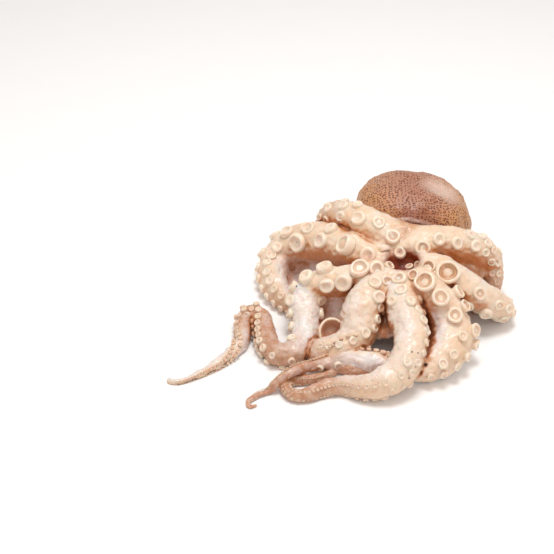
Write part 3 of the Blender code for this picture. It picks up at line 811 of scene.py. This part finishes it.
class Nearest:
    """For points on the skin: the closest arm, how far along it, and on which side."""

    def __init__(self, points, arms):
        count = len(points)
        best = np.full(count, np.inf)
        self.arm = np.zeros(count, int)
        self.along = np.zeros(count)
        self.oral = np.zeros(count)
        self.radius = np.zeros(count)
        for number, arm in enumerate(arms):
            for first in range(0, count, 20000):
                part = slice(first, min(first + 20000, count))
                squared = (
                    (points[part] ** 2).sum(axis=1)[:, None] + (arm.centre**2).sum(axis=1)
                    - 2 * points[part] @ arm.centre.T
                )
                off = np.sqrt(np.maximum(squared, 0)) - arm.radius
                ring = off.argmin(axis=1)
                found = off[np.arange(len(ring)), ring]
                better = found < best[part]
                spot = np.flatnonzero(better) + first
                ring = ring[better]
                best[spot] = found[better]
                self.arm[spot] = number
                self.along[spot] = arm.travelled[ring] / arm.length
                way = points[spot] - arm.centre[ring]
                way /= np.maximum(np.linalg.norm(way, axis=1, keepdims=True), 1e-6)
                self.oral[spot] = (way * arm.oral[ring]).sum(axis=1)
                self.radius[spot] = arm.radius[ring]
        self.off = best


def back_map(points):
    """The bag's skin rolled out flat from its top, in millimetres, to lay spots on."""
    way = (points - MANTLE_CENTRE) / MANTLE_RADII
    way /= np.maximum(np.linalg.norm(way, axis=1, keepdims=True), 1e-6)
    across = np.cross(MANTLE_MAP_AXIS, (1.0, 0.0, 0.0))
    across /= np.linalg.norm(across)
    turn = np.arctan2(way @ across, way[:, 0])
    far = np.arccos(np.clip(way @ MANTLE_MAP_AXIS, -1, 1)) * MANTLE_RADII.mean()
    return np.stack((far * np.cos(turn), far * np.sin(turn), np.zeros(len(far))), axis=1)


def head_share(points):
    """1 on the head, which is coloured as the mantle is, and 0 from the arms on."""
    size = np.linalg.norm((points - HEAD_CENTRE) / HEAD_RADII, axis=1)
    return smooth_step(1.3, 1.06, size) * smooth_step(2, 16, points[:, 1])


def tail_share(near, start, full, fade, faded):
    """How far the skin has turned tan towards the tip of its arm."""
    share = smooth_step(start, full, near.along)
    return share * (1 - TAIL_PALES_BY * smooth_step(fade, faded, near.along))


def skin_bumps(points, near):
    """Height of the uneven flesh and its fine creases, in millimetres."""
    height = SOFT_BUMPS * ripple(points, 9.0, 1) + FINE_BUMPS * ripple(points, 3.2, 2)
    outer = smooth_step(0.2, -0.5, near.oral)
    folds = np.sin(near.along * 420 + 2.5 * ripple(points, 7.0, 3))
    return height + FOLD_BUMPS * outer * folds * smooth_step(2.5, 6, near.radius)


def add_skin(field, arms, material):
    """The skin in two halves that share their edge, so that no one piece is too heavy."""
    points, quads = field.surface()
    near = Nearest(points, arms)
    normals = corner_normals(points, quads)
    level = normals[:, 2]
    *tan_stretch, golden, pale, lilac = np.array([ARM_SKIN[arm.name] for arm in arms])[near.arm].T
    points = points + normals * skin_bumps(points, near)[:, None]
    points[:, 2] = np.maximum(points[:, 2], 0)
    normals = corner_normals(points, quads)
    crowding = Crowding(field, CROWDING_REACH)
    wide_crowding = Crowding(field, WIDE_REACH)
    outer = smooth_step(*LILAC_FROM, np.linalg.norm(points - MOUTH_CENTRE, axis=1))
    attributes = {
        "oral": near.oral,
        "pale": pale * smooth_step(0.75, 0.05, near.oral),
        # Painted golden shade, growing as the skin turns from facing up to facing down.
        "golden": golden * smooth_step(0.85, -0.1, level),
        "web": smooth_step(0.6, 3.0, near.off),
        "tail": tail_share(near, *tan_stretch),
        # Painted shade on raised skin that faces down.
        "turned": smooth_step(0.5, -0.25, normals[:, 2]) * smooth_step(9, 25, points[:, 2]),
        "lilac": lilac * outer,
        # Flesh close round a place, near and wide: used for painted shade in folds and under the arms.
        "crowded": crowding.at(points + normals * CROWDING_REACH * 0.7),
        "under": wide_crowding.at(points + normals * WIDE_REACH * 0.6),
        "dorsal": head_share(points),
        "flank": mantle_flank(points),
        "spot": back_map(points),
        "mouth": smooth_step(1.6, 0.8, np.linalg.norm((points - MOUTH_CENTRE) / MOUTH_RADII, axis=1)),
    }
    on_left = np.isin(near.arm[quads[:, 0]], [k for k, arm in enumerate(arms) if arm.name in LEFT_ARMS])
    for name, chosen in (("skin_left", on_left), ("skin_right", ~on_left)):
        used, faces = np.unique(quads[chosen], return_inverse=True)
        faces = faces.reshape(-1, 4)
        own = {key: values[used] for key, values in attributes.items()}
        piece = add_piece(name, points[used], faces.tolist(), material, own)
        piece.data.normals_split_custom_set_from_vertices(normals[used].tolist())
        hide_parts("octopus")
    return crowding


def mantle_flank(points):
    """0 along the middle of the bag and 1 out at its sides, which are more golden."""
    return smooth_step(0.15, 0.75, np.abs(points[:, 0] - MANTLE_CENTRE[0]) / MANTLE_RADII[0])


def mantle_sunk(points):
    """How near a place on the bag is to the middle of its sunken part, from 0 to 1."""
    way = (points - MANTLE_CENTRE) / MANTLE_RADII
    way /= np.linalg.norm(way, axis=1, keepdims=True)
    apart = np.arccos(np.clip(way @ (MANTLE_DENT_FROM / np.linalg.norm(MANTLE_DENT_FROM)), -1, 1))
    return np.exp(-((apart / MANTLE_DENT_WIDTH) ** 2))


def mantle_relief(points):
    """Slack skin: broad unevenness, a crease across the top and wrinkles where it sinks."""
    middle, width = MANTLE_CREASE_AT
    start, end = MANTLE_CREASE_FROM_TO
    off = points[:, 1] - middle - 2.0 * np.sin(points[:, 0] / 6)
    along = smooth_step(start, start + 8, points[:, 0]) * smooth_step(end, end - 8, points[:, 0])
    crease = np.exp(-((off / width) ** 2)) * along * (points[:, 2] > MANTLE_CENTRE[2])
    folds = mantle_sunk(points) * ripple(points * (1.0, 1.6, 1.0), 5.5, 13)
    height = 0.4 * ripple(points, 14.0, 11) + 0.12 * ripple(points, 4.0, 12)
    return height - MANTLE_CREASE_DEPTH * crease + 0.45 * folds


def mantle_field():
    """The bag behind the head: an egg with a sunken place, open where the head goes in."""
    field = Field(MANTLE_CENTRE - MANTLE_RADII - 4, MANTLE_CENTRE + MANTLE_RADII + 4, MANTLE_STEP)
    axes = field.all_axes()
    ways = [(axis - c) / r for axis, c, r in zip(axes, MANTLE_CENTRE, MANTLE_RADII)]
    size = np.sqrt(sum(way**2 for way in ways))
    full = sum(np.abs(way) ** MANTLE_FULLNESS for way in ways) ** (1 / MANTLE_FULLNESS)
    bag = (full - 1) * min(MANTLE_RADII)
    dent_way = MANTLE_DENT_FROM / np.linalg.norm(MANTLE_DENT_FROM)
    cosine = sum(way * c for way, c in zip(ways, dent_way)) / np.maximum(size, 1e-6)
    apart = np.arccos(np.clip(cosine, -1, 1)) / MANTLE_DENT_WIDTH
    bag = bag + MANTLE_DENT_DEPTH * np.exp(-apart * apart)
    field.values = bag.astype(np.float32)
    opening = ellipsoid(axes, MANTLE_OPENING_CENTRE, HEAD_RADII + MANTLE_LIP_GAP)
    field.cut(opening, 1.5)
    field.values = smooth_max(field.values, (0.0 - axes[2]) + 0 * axes[0] + 0 * axes[1], FLOOR_BLEND)
    return field


def add_mantle(material):
    field = mantle_field()
    points, quads = field.surface()
    normals = corner_normals(points, quads)
    sunk = mantle_sunk(points)
    points = points + normals * mantle_relief(points)[:, None]
    way = (points - MANTLE_OPENING_CENTRE) / (HEAD_RADII + MANTLE_LIP_GAP)
    opening = np.linalg.norm(way, axis=1)
    lip = smooth_step(*MANTLE_LIP_REACH, opening)
    points = points + normals * MANTLE_LIP_HEIGHT * lip[:, None]
    points[:, 2] = np.maximum(points[:, 2], 0)
    normals = corner_normals(points, quads)
    crowding = Crowding(field, CROWDING_REACH)
    attributes = {
        # Flesh close round a place, used for painted shade in hollows, none on the rim.
        "crowded": crowding.at(points + normals * CROWDING_REACH * 0.7) * (1 - lip),
        "up": normals[:, 2],
        "flank": mantle_flank(points),
        "lip": lip,
        "sunk": sunk,
        "spot": back_map(points),
    }
    piece = add_piece("mantle", points, quads.tolist(), material, attributes)
    piece.data.normals_split_custom_set_from_vertices(normals.tolist())
    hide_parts("octopus")


# ---- Materials --------------------------------------------------------------------------

def srgb(red, green, blue):
    """A colour given as 0 to 255 values, as the linear values that shaders use."""
    linear = []
    for value in (red, green, blue):
        value /= 255
        linear.append(value / 12.92 if value <= 0.04045 else ((value + 0.055) / 1.055) ** 2.4)
    return (*linear, 1.0)


def eye_place(side):
    """The middle of an eye mound and the way that eye looks, for side -1 or 1."""
    outward = np.array((side * 1.0, 0.0, 0.3))
    return HEAD_CENTRE + EYE_OFFSET * (side, 1, 1), outward / np.linalg.norm(outward)


class Shader:
    """A node material that is built from short calls."""

    def __init__(self, name):
        self.material = bpy.data.materials.new(name)
        self.material.use_nodes = True
        self.tree = self.material.node_tree
        self.surface = self.tree.nodes["Principled BSDF"]
        self.place = self.tree.nodes.new("ShaderNodeTexCoord").outputs["Object"]

    def link(self, value, socket):
        if isinstance(value, bpy.types.NodeSocket):
            self.tree.links.new(value, socket)
        else:
            socket.default_value = value

    def attribute(self, name):
        node = self.tree.nodes.new("ShaderNodeAttribute")
        node.attribute_name = name
        return node.outputs["Fac"]

    def noise(self, wavelength, detail=3.0, roughness=0.5, distortion=0.0):
        """Cloudy values from about 0.3 to 0.7, with patches as wide as the wavelength in mm."""
        node = self.tree.nodes.new("ShaderNodeTexNoise")
        self.link(self.place, node.inputs["Vector"])
        node.inputs["Scale"].default_value = 1 / (wavelength * MM)
        node.inputs["Detail"].default_value = detail
        node.inputs["Roughness"].default_value = roughness
        node.inputs["Distortion"].default_value = distortion
        return node.outputs["Fac"]

    def cells(self, pitch, randomness=1.0):
        """Distance to the nearest of many scattered points, in cell sizes."""
        node = self.tree.nodes.new("ShaderNodeTexVoronoi")
        self.link(self.place, node.inputs["Vector"])
        node.inputs["Scale"].default_value = 1 / (pitch * MM)
        node.inputs["Randomness"].default_value = randomness
        return node.outputs["Distance"]

    def flat_cells(self, pitch, randomness=1.0):
        """The same on the rolled out skin, where every point lies on the surface."""
        spot = self.tree.nodes.new("ShaderNodeAttribute")
        spot.attribute_name = "spot"
        node = self.tree.nodes.new("ShaderNodeTexVoronoi")
        node.voronoi_dimensions = "2D"
        self.link(spot.outputs["Vector"], node.inputs["Vector"])
        node.inputs["Scale"].default_value = 1 / pitch
        node.inputs["Randomness"].default_value = randomness
        return node.outputs["Distance"]

    def math(self, operation, first, second=0.0):
        node = self.tree.nodes.new("ShaderNodeMath")
        node.operation = operation
        self.link(first, node.inputs[0])
        self.link(second, node.inputs[1])
        return node.outputs[0]

    def range(self, value, low, high, start=0.0, end=1.0):
        """A smooth ramp from start to end while the value goes from low to high."""
        node = self.tree.nodes.new("ShaderNodeMapRange")
        node.interpolation_type = "SMOOTHSTEP"
        for socket, number in zip(node.inputs, (value, low, high, start, end)):
            self.link(number, socket)
        return node.outputs[0]

    def ramp(self, value, stops):
        node = self.tree.nodes.new("ShaderNodeValToRGB")
        self.link(value, node.inputs[0])
        elements = node.color_ramp.elements
        while len(elements) < len(stops):
            elements.new(1.0)
        for element, (place, colour) in zip(elements, stops):
            element.position = place
            element.color = colour
        return node.outputs[0]

    def mix(self, share, first, second, blend="MIX"):
        node = self.tree.nodes.new("ShaderNodeMix")
        node.data_type = "RGBA"
        node.blend_type = blend
        self.link(share, node.inputs["Factor"])
        self.link(first, node.inputs["A"])
        self.link(second, node.inputs["B"])
        return node.outputs["Result"]

    def bump(self, height, distance, strength=1.0):
        node = self.tree.nodes.new("ShaderNodeBump")
        node.inputs["Distance"].default_value = distance * MM
        node.inputs["Strength"].default_value = strength
        self.link(height, node.inputs["Height"])
        self.link(node.outputs[0], self.surface.inputs["Normal"])

    def finish(self, colour, roughness, depth=0.0, spread=3.0, coat=0.0):
        """Wet flesh: light passes a little way under the surface."""
        inputs = self.surface.inputs
        self.link(colour, inputs["Base Color"])
        self.link(roughness, inputs["Roughness"])
        inputs["Subsurface Weight"].default_value = depth
        inputs["Subsurface Radius"].default_value = (1.0, 0.42, 0.24)
        inputs["Subsurface Scale"].default_value = spread * MM
        inputs["Coat Weight"].default_value = coat
        inputs["Coat Roughness"].default_value = 0.12
        inputs["Specular IOR Level"].default_value = 0.35
        return self.material


def skin_material():
    """Cream flesh, paler and bluer away from the suckers, with painted golden and orange brown shade where
    it faces down, under the arms and in the folds.
    """
    shader = Shader("skin")
    oral = shader.attribute("oral")
    patches = shader.range(shader.noise(14, 4, 0.55, 0.4), 0.35, 0.65)
    small = shader.range(shader.noise(4.5, 4, 0.6), 0.35, 0.65)
    colour = shader.mix(patches, srgb(*CREAM), srgb(*PEACH))
    colour = shader.mix(shader.math("MULTIPLY", small, 0.3), colour, srgb(*PEACH))
    # Painted golden shade on the sides and undersides of the arms.
    golden = shader.math("MULTIPLY", shader.attribute("golden"), shader.range(patches, 0, 1, 0.8, 0.55))
    colour = shader.mix(golden, colour, srgb(*UNDERSIDE_SHADE_GOLD))
    pale = shader.math("MULTIPLY", shader.attribute("pale"), shader.range(patches, 0, 1, 1, 0.75))
    colour = shader.mix(pale, colour, srgb(*BLUE_WHITE))
    veil = shader.math("MULTIPLY", shader.attribute("web"), shader.range(patches, 0, 1, 0.6, 0.95))
    tint = shader.mix(shader.attribute("lilac"), srgb(*WEB_BROWN), srgb(*WEB_LILAC))
    colour = shader.mix(veil, colour, tint)
    tail = shader.math("MULTIPLY", shader.attribute("tail"), shader.range(small, 0, 1, 0.65, 0.95))
    colour = shader.mix(tail, colour, srgb(*TAIL_TAN))
    warts = shader.math("MULTIPLY", shader.range(shader.cells(2.3), 0.42, 0.12), shader.attribute("tail"))
    colour = shader.mix(shader.math("MULTIPLY", warts, 0.45), colour, srgb(*WART_PALE))
    wobble = shader.math("MULTIPLY", shader.math("SUBTRACT", shader.noise(5, 4, 0.6), 0.5), 0.3)
    shade = shader.math("ADD", shader.attribute("crowded"), wobble)
    under = shader.math("ADD", shader.attribute("under"), wobble)
    bare = shader.math("SUBTRACT", 1.0, shader.math("MULTIPLY", pale, 0.8))
    # Painted shade: orange where raised skin faces down, under the arms and in folds, deep brown deepest in
    # the folds, less on the webs.
    turned = shader.math("ADD", shader.attribute("turned"), shader.math("MULTIPLY", wobble, 0.5))
    colour = shader.mix(shader.range(turned, 0.05, 0.9, 0, 0.9), colour, srgb(*SHADE_AND_SPECK_ORANGE))
    under = shader.range(under, 0.22, 0.50, 0, 0.85)
    colour = shader.mix(shader.math("MULTIPLY", under, bare), colour, srgb(*SHADE_AND_SPECK_ORANGE))
    taut = shader.math("SUBTRACT", 1.0, shader.math("MULTIPLY", shader.attribute("web"), 0.6))
    fold = shader.math("MULTIPLY", shader.range(shade, 0.20, 0.42, 0, 0.85), taut)
    colour = shader.mix(fold, colour, srgb(*SHADE_AND_SPECK_ORANGE))
    depth = shader.math("MULTIPLY", shader.range(shade, 0.33, 0.56, 0, 0.9), taut)
    colour = shader.mix(depth, colour, srgb(*DEEP_SHADE_BROWN))
    # The mouth's red, darkened as painted shade for its hollow.
    colour = shader.mix(shader.attribute("mouth"), colour, srgb(*MOUTH_RED_IN_SHADE))
    back = spotted(shader, shade, shader.math("MULTIPLY", oral, -1.0))
    colour = shader.mix(shader.attribute("dorsal"), colour, back)
    # The skin's own small orange specks.
    speck = shader.range(shader.cells(1.5), 0.24, 0.14)
    speck = shader.math("MULTIPLY", speck, shader.range(shader.noise(22, 2), 0.45, 0.62))
    colour = shader.mix(shader.math("MULTIPLY", speck, 0.4), colour, srgb(*SHADE_AND_SPECK_ORANGE))
    grain = shader.math("ADD", shader.noise(2.0, 5, 0.7), shader.math("MULTIPLY", small, 0.5))
    grain = shader.math("ADD", grain, shader.math("MULTIPLY", warts, 0.6))
    shader.bump(grain, 0.6, 0.9)
    roughness = shader.range(shader.noise(3.5, 4, 0.7), 0.3, 0.7, 0.22, 0.5)
    return shader.finish(colour, roughness, 0.35, 3.0, 0.35)


def sucker_material():
    """A pale rim, a tan ring inside it and a whiter middle, partly a painted highlight, redder close to the
    mouth, with painted orange shade at the foot among crowded flesh.
    """
    shader = Shader("suckers")
    zone, crowded = shader.attribute("zone"), shader.attribute("crowded")
    tone, size = shader.attribute("tone"), shader.attribute("size")
    uneven = shader.math("MULTIPLY", shader.math("SUBTRACT", shader.noise(1.8, 3), 0.5), 0.13)
    ring = shader.math("ADD", zone, uneven)
    # Rim, tan ring and lines inside the cup; the whiter middle is partly the cup's pale floor and partly a
    # painted highlight.
    colour = shader.ramp(ring, [
        (0.0, srgb(*CREAM)), (0.17, srgb(*CREAM)), (0.34, srgb(*RIM_AND_HIGHLIGHT_WHITE)),
        (0.47, srgb(*RIM_AND_HIGHLIGHT_WHITE)), (0.53, srgb(*CUP_LINE)), (0.57, srgb(*CUP_TAN)),
        (0.66, srgb(*CUP_TAN)), (0.70, srgb(*CUP_LINE)), (0.75, srgb(*CUP_TAN)),
        (0.84, srgb(*RIM_AND_HIGHLIGHT_WHITE)),
    ])
    plain = shader.mix(shader.range(shader.noise(12, 3), 0.35, 0.65), srgb(*CREAM), srgb(*RIM_AND_HIGHLIGHT_WHITE))
    share = shader.math("MULTIPLY", shader.range(size, 1.2, 4.5, 0.25, 1), shader.range(tone, 0, 1, 0.12, 1))
    colour = shader.mix(share, plain, colour)
    inside = shader.range(ring, 0.46, 0.56)
    red = shader.math("MULTIPLY", shader.attribute("red"), shader.range(tone, 0, 1, 0.5, 0.85))
    colour = shader.mix(shader.math("MULTIPLY", red, inside), colour, srgb(*CUP_RED))
    colour = shader.mix(shader.math("MULTIPLY", red, 0.35), colour, srgb(*PEACH))
    colour = shader.mix(shader.range(size, 2.8, 0.8, 0, 0.6), colour, srgb(*TAIL_TAN))
    blush = shader.math("MULTIPLY", shader.range(shader.noise(7, 4, 0.6), 0.42, 0.66), 0.5)
    colour = shader.mix(blush, colour, srgb(*PEACH))
    # Painted orange shade where flesh crowds round the foot of the sucker.
    colour = shader.mix(shader.range(crowded, 0.34, 0.70, 0, 0.75), colour, srgb(*SHADE_AND_SPECK_ORANGE))
    shader.bump(shader.noise(0.9, 3, 0.6), 0.2, 0.9)
    roughness = shader.range(shader.noise(3, 3), 0.3, 0.7, 0.24, 0.42)
    return shader.finish(colour, roughness, 0.4, 2.2, 0.3)


def spotted(shader, crowded, up):
    """The back's skin: golden tan to red brown, dense with small dark spots of uneven size, with a painted
    highlight where it faces up and painted shade where it faces down and in hollows.
    """
    patches = shader.range(shader.noise(16, 4, 0.55, 0.3), 0.35, 0.65)
    share = shader.math("ADD", shader.attribute("flank"), shader.math("MULTIPLY", patches, 0.3))
    colour = shader.mix(share, srgb(*MANTLE_PINK), srgb(*MANTLE_TAN))
    # Painted highlight where it faces up, painted shade where it faces down.
    colour = shader.mix(shader.range(up, 0.6, 1.0, 0, 0.7), colour, srgb(*MANTLE_LIT_TOP))
    colour = shader.mix(shader.range(up, 0.2, -0.8, 0, 0.7), colour, srgb(*MANTLE_SHADED_LOW))
    for pitch, size, strength in ((1.65, 0.27, 0.9), (1.0, 0.22, 0.45)):
        distance = shader.flat_cells(pitch, 0.7)
        reach = shader.range(shader.noise(5, 3), 0.3, 0.7, 0.7 * size, 1.2 * size)
        spot = shader.range(shader.math("SUBTRACT", distance, reach), 0.08, -0.05)
        colour = shader.mix(shader.math("MULTIPLY", spot, strength), colour, srgb(*MANTLE_SPOT))
    # Painted deep brown shade in hollows.
    return shader.mix(shader.range(crowded, 0.3, 0.6, 0, 0.7), colour, srgb(*DEEP_SHADE_BROWN))


def mantle_material():
    shader = Shader("mantle")
    colour = spotted(shader, shader.attribute("crowded"), shader.attribute("up"))
    # Painted highlight on the sunken place.
    bare = shader.range(shader.attribute("sunk"), 0.3, 1.0, 0, 0.6)
    colour = shader.mix(bare, colour, srgb(*MANTLE_LIP_AND_HIGHLIGHT_PALE))
    # A patchy pale line along the thickened rim.
    patchy = shader.range(shader.noise(3, 3), 0.3, 0.7, 0.3, 0.75)
    lip = shader.math("MULTIPLY", shader.attribute("lip"), patchy)
    colour = shader.mix(lip, colour, srgb(*MANTLE_LIP_AND_HIGHLIGHT_PALE))
    shader.bump(shader.noise(1.6, 4, 0.6), 0.4, 0.9)
    roughness = shader.range(shader.noise(6, 3), 0.3, 0.7, 0.34, 0.55)
    return shader.finish(colour, roughness, 0.2, 2.0, 0.05)


def eye_material():
    """A dark wet eye with a gold ring round a flat black pupil."""
    shader = Shader("eye")
    round_pupil = shader.attribute("pupil")
    streaks = shader.math("MULTIPLY", shader.noise(0.8, 3), 0.3)
    ring = shader.math("ADD", round_pupil, streaks)
    colour = shader.ramp(ring, [
        (0.0, srgb(6, 5, 6)), (0.42, srgb(8, 7, 8)), (0.5, srgb(128, 92, 44)),
        (0.72, srgb(168, 128, 74)), (0.88, srgb(70, 48, 34)), (1.0, srgb(120, 100, 90)),
    ])
    return shader.finish(colour, 0.08, 0.0, 1.0, 0.8)


def add_eyes(material):
    """Two dark wet eyes between their lids, with a flat pupil."""
    for name, side in (("eye_left", -1), ("eye_right", 1)):
        centre, outward = eye_place(side)
        across = np.cross(UP, outward)
        lift = np.cross(outward, across)
        turn = np.linspace(0, 2 * np.pi, EYE_SEGMENTS, endpoint=False)[None, :]
        open_by = np.linspace(0.02, np.pi * 0.6, EYE_ROWS)[:, None]
        ring = np.sin(open_by)
        local = np.stack((ring * np.cos(turn), ring * np.sin(turn), np.cos(open_by) + 0 * turn), -1)
        local = local.reshape(-1, 3) * EYE_BALL
        points = centre + outward * EYE_FORWARD + local @ np.stack((across, lift, outward))
        index = np.arange(EYE_ROWS * EYE_SEGMENTS).reshape(EYE_ROWS, EYE_SEGMENTS)
        beside = np.roll(index, -1, axis=1)
        quads = np.stack((index[:-1], index[1:], beside[1:], beside[:-1]), -1).reshape(-1, 4)
        faces = quads.tolist() + [index[0].tolist(), index[-1, ::-1].tolist()]
        pupil = np.sqrt((local[:, 0] / PUPIL_WIDTH) ** 2 + (local[:, 1] / PUPIL_HEIGHT) ** 2)
        add_piece(name, points, faces, material, {"pupil": pupil / 3})


def grit_material():
    """Nearly black grains of dirt."""
    shader = Shader("grit")
    colour = shader.mix(shader.noise(0.6, 3), srgb(24, 16, 13), srgb(58, 36, 26))
    shader.bump(shader.noise(0.4, 3), 0.1)
    return shader.finish(colour, 0.5)


def floor_material():
    """A plain matt sheet, white with a very faint grain."""
    shader = Shader("floor")
    colour = shader.mix(shader.noise(25, 3), srgb(249, 249, 249), srgb(252, 252, 252))
    return shader.finish(colour, 0.6)


def add_grit(suckers, material):
    """Dark grains stuck to the skin, and finer ones washed into the widest open cups."""
    rng = np.random.default_rng(8)
    grains = [(np.array(spot[:3], float), spot[3]) for spot in GRIT]
    for sucker in suckers:
        if sucker.openness < GRITTY_FROM or sucker.radius < 3:
            continue
        for turn in rng.uniform(0, 2 * np.pi, rng.integers(2, 5)):
            off = sucker.ahead * math.cos(turn) + sucker.side * math.sin(turn)
            spot = sucker.foot + sucker.radius * (off * 0.6 + sucker.facing * 0.17)
            grains.append((spot, rng.uniform(0.15, 0.32)))
    points, faces = [], []
    for spot, size in grains:
        shape = bmesh.new()
        bmesh.ops.create_icosphere(shape, subdivisions=2, radius=size)
        squash = rng.uniform(0.6, 1.2, 3)
        first = len(points)
        for vertex in shape.verts:
            points.append(spot + np.array(vertex.co) * squash * rng.uniform(0.85, 1.1))
        faces += [[first + vertex.index for vertex in face.verts] for face in shape.faces]
        shape.free()
    add_piece("grit", np.array(points), faces, material, {})


# ---- Stage ------------------------------------------------------------------------------

def add_floor(material):
    mesh = bpy.data.meshes.new("floor")
    half = FLOOR_SIZE / 2
    corners = [(-half, -half, 0), (half, -half, 0), (half, half, 0), (-half, half, 0)]
    mesh.from_pydata(corners, [], [(0, 1, 2, 3)])
    mesh.materials.append(material)
    floor = bpy.data.objects.new("floor", mesh)
    bpy.context.scene.collection.objects.link(floor)


def add_light(name, place, aim, size, power, colour):
    light = bpy.data.lights.new(name, "AREA")
    light.shape = "DISK"
    light.size = size
    light.energy = power
    light.color = colour
    lamp = bpy.data.objects.new(name, light)
    lamp.location = place
    lamp.rotation_euler = (Vector(aim) - Vector(place)).to_track_quat("-Z", "Y").to_euler()
    bpy.context.scene.collection.objects.link(lamp)


def add_camera():
    """Level with the horizon, looking down at the octopus from the front."""
    camera = bpy.data.cameras.new("camera")
    camera.lens = CAMERA_LENS
    camera.sensor_width = 36
    viewer = bpy.data.objects.new("camera", camera)
    lift = math.radians(CAMERA_ELEVATION)
    away = Vector((0, -math.cos(lift), math.sin(lift))) * CAMERA_DISTANCE
    viewer.location = (Vector(CAMERA_TARGET) + away) * MM
    viewer.rotation_euler = (math.pi / 2 - lift, 0, 0)
    bpy.context.scene.collection.objects.link(viewer)
    bpy.context.scene.camera = viewer


def set_world():
    world = bpy.data.worlds.new("studio")
    world.use_nodes = True
    background = world.node_tree.nodes["Background"]
    background.inputs["Color"].default_value = (1.0, 0.95, 0.9, 1.0)
    background.inputs["Strength"].default_value = WORLD_STRENGTH
    bpy.context.scene.world = world
    bpy.context.scene.view_settings.view_transform = "Standard"


def main():
    add_camera()
    set_world()
    add_floor(floor_material())
    add_light("key", (0.04, 0.02, 0.88), (0, 0, 0), 0.36, KEY_POWER, (0.98, 0.99, 1.0))
    add_light("fill", (0.15, -0.8, 0.6), (0, 0, 0), 0.7, FILL_POWER, (0.97, 0.98, 1.0))
    arms = [Arm(name) for name in ARMS]
    suckers = {arm.name: arm_suckers(arm) for arm in arms}
    low = np.array(solid_low) / MM - GRID_MARGIN
    high = np.array(solid_high) / MM + GRID_MARGIN
    field = Field(low, high, GRID_STEP)
    fill_arms(field, arms)
    fill_web(field, arms)
    fill_body(field)
    for arm in arms:
        for sucker in suckers[arm.name]:
            sucker.rise = SUCKER_RISE.get(arm.name, LOW_RISE)
            if arm.name == "front_right":
                sucker.waist = TALL_WAIST
            if arm.name in CUP_TONE:
                sucker.tone = CUP_TONE[arm.name] * (0.25 + 0.75 * sucker.openness)
            sucker.settle(field, float(arm.radius.mean()))
        fill_stalks(field, suckers[arm.name])
    suckers["loose"] = [loose_sucker()]
    x, y, z = field.all_axes()
    field.values = smooth_max(field.values, -z + 0 * x + 0 * y, FLOOR_BLEND)
    crowding = add_skin(field, arms, skin_material())
    flesh = sucker_material()
    for name, placed in suckers.items():
        add_suckers("suckers_" + name, placed, flesh, crowding)
    add_mantle(mantle_material())
    add_eyes(eye_material())
    add_grit(sum(suckers.values(), []), grit_material())


main()
bpy.context.view_layer.update()
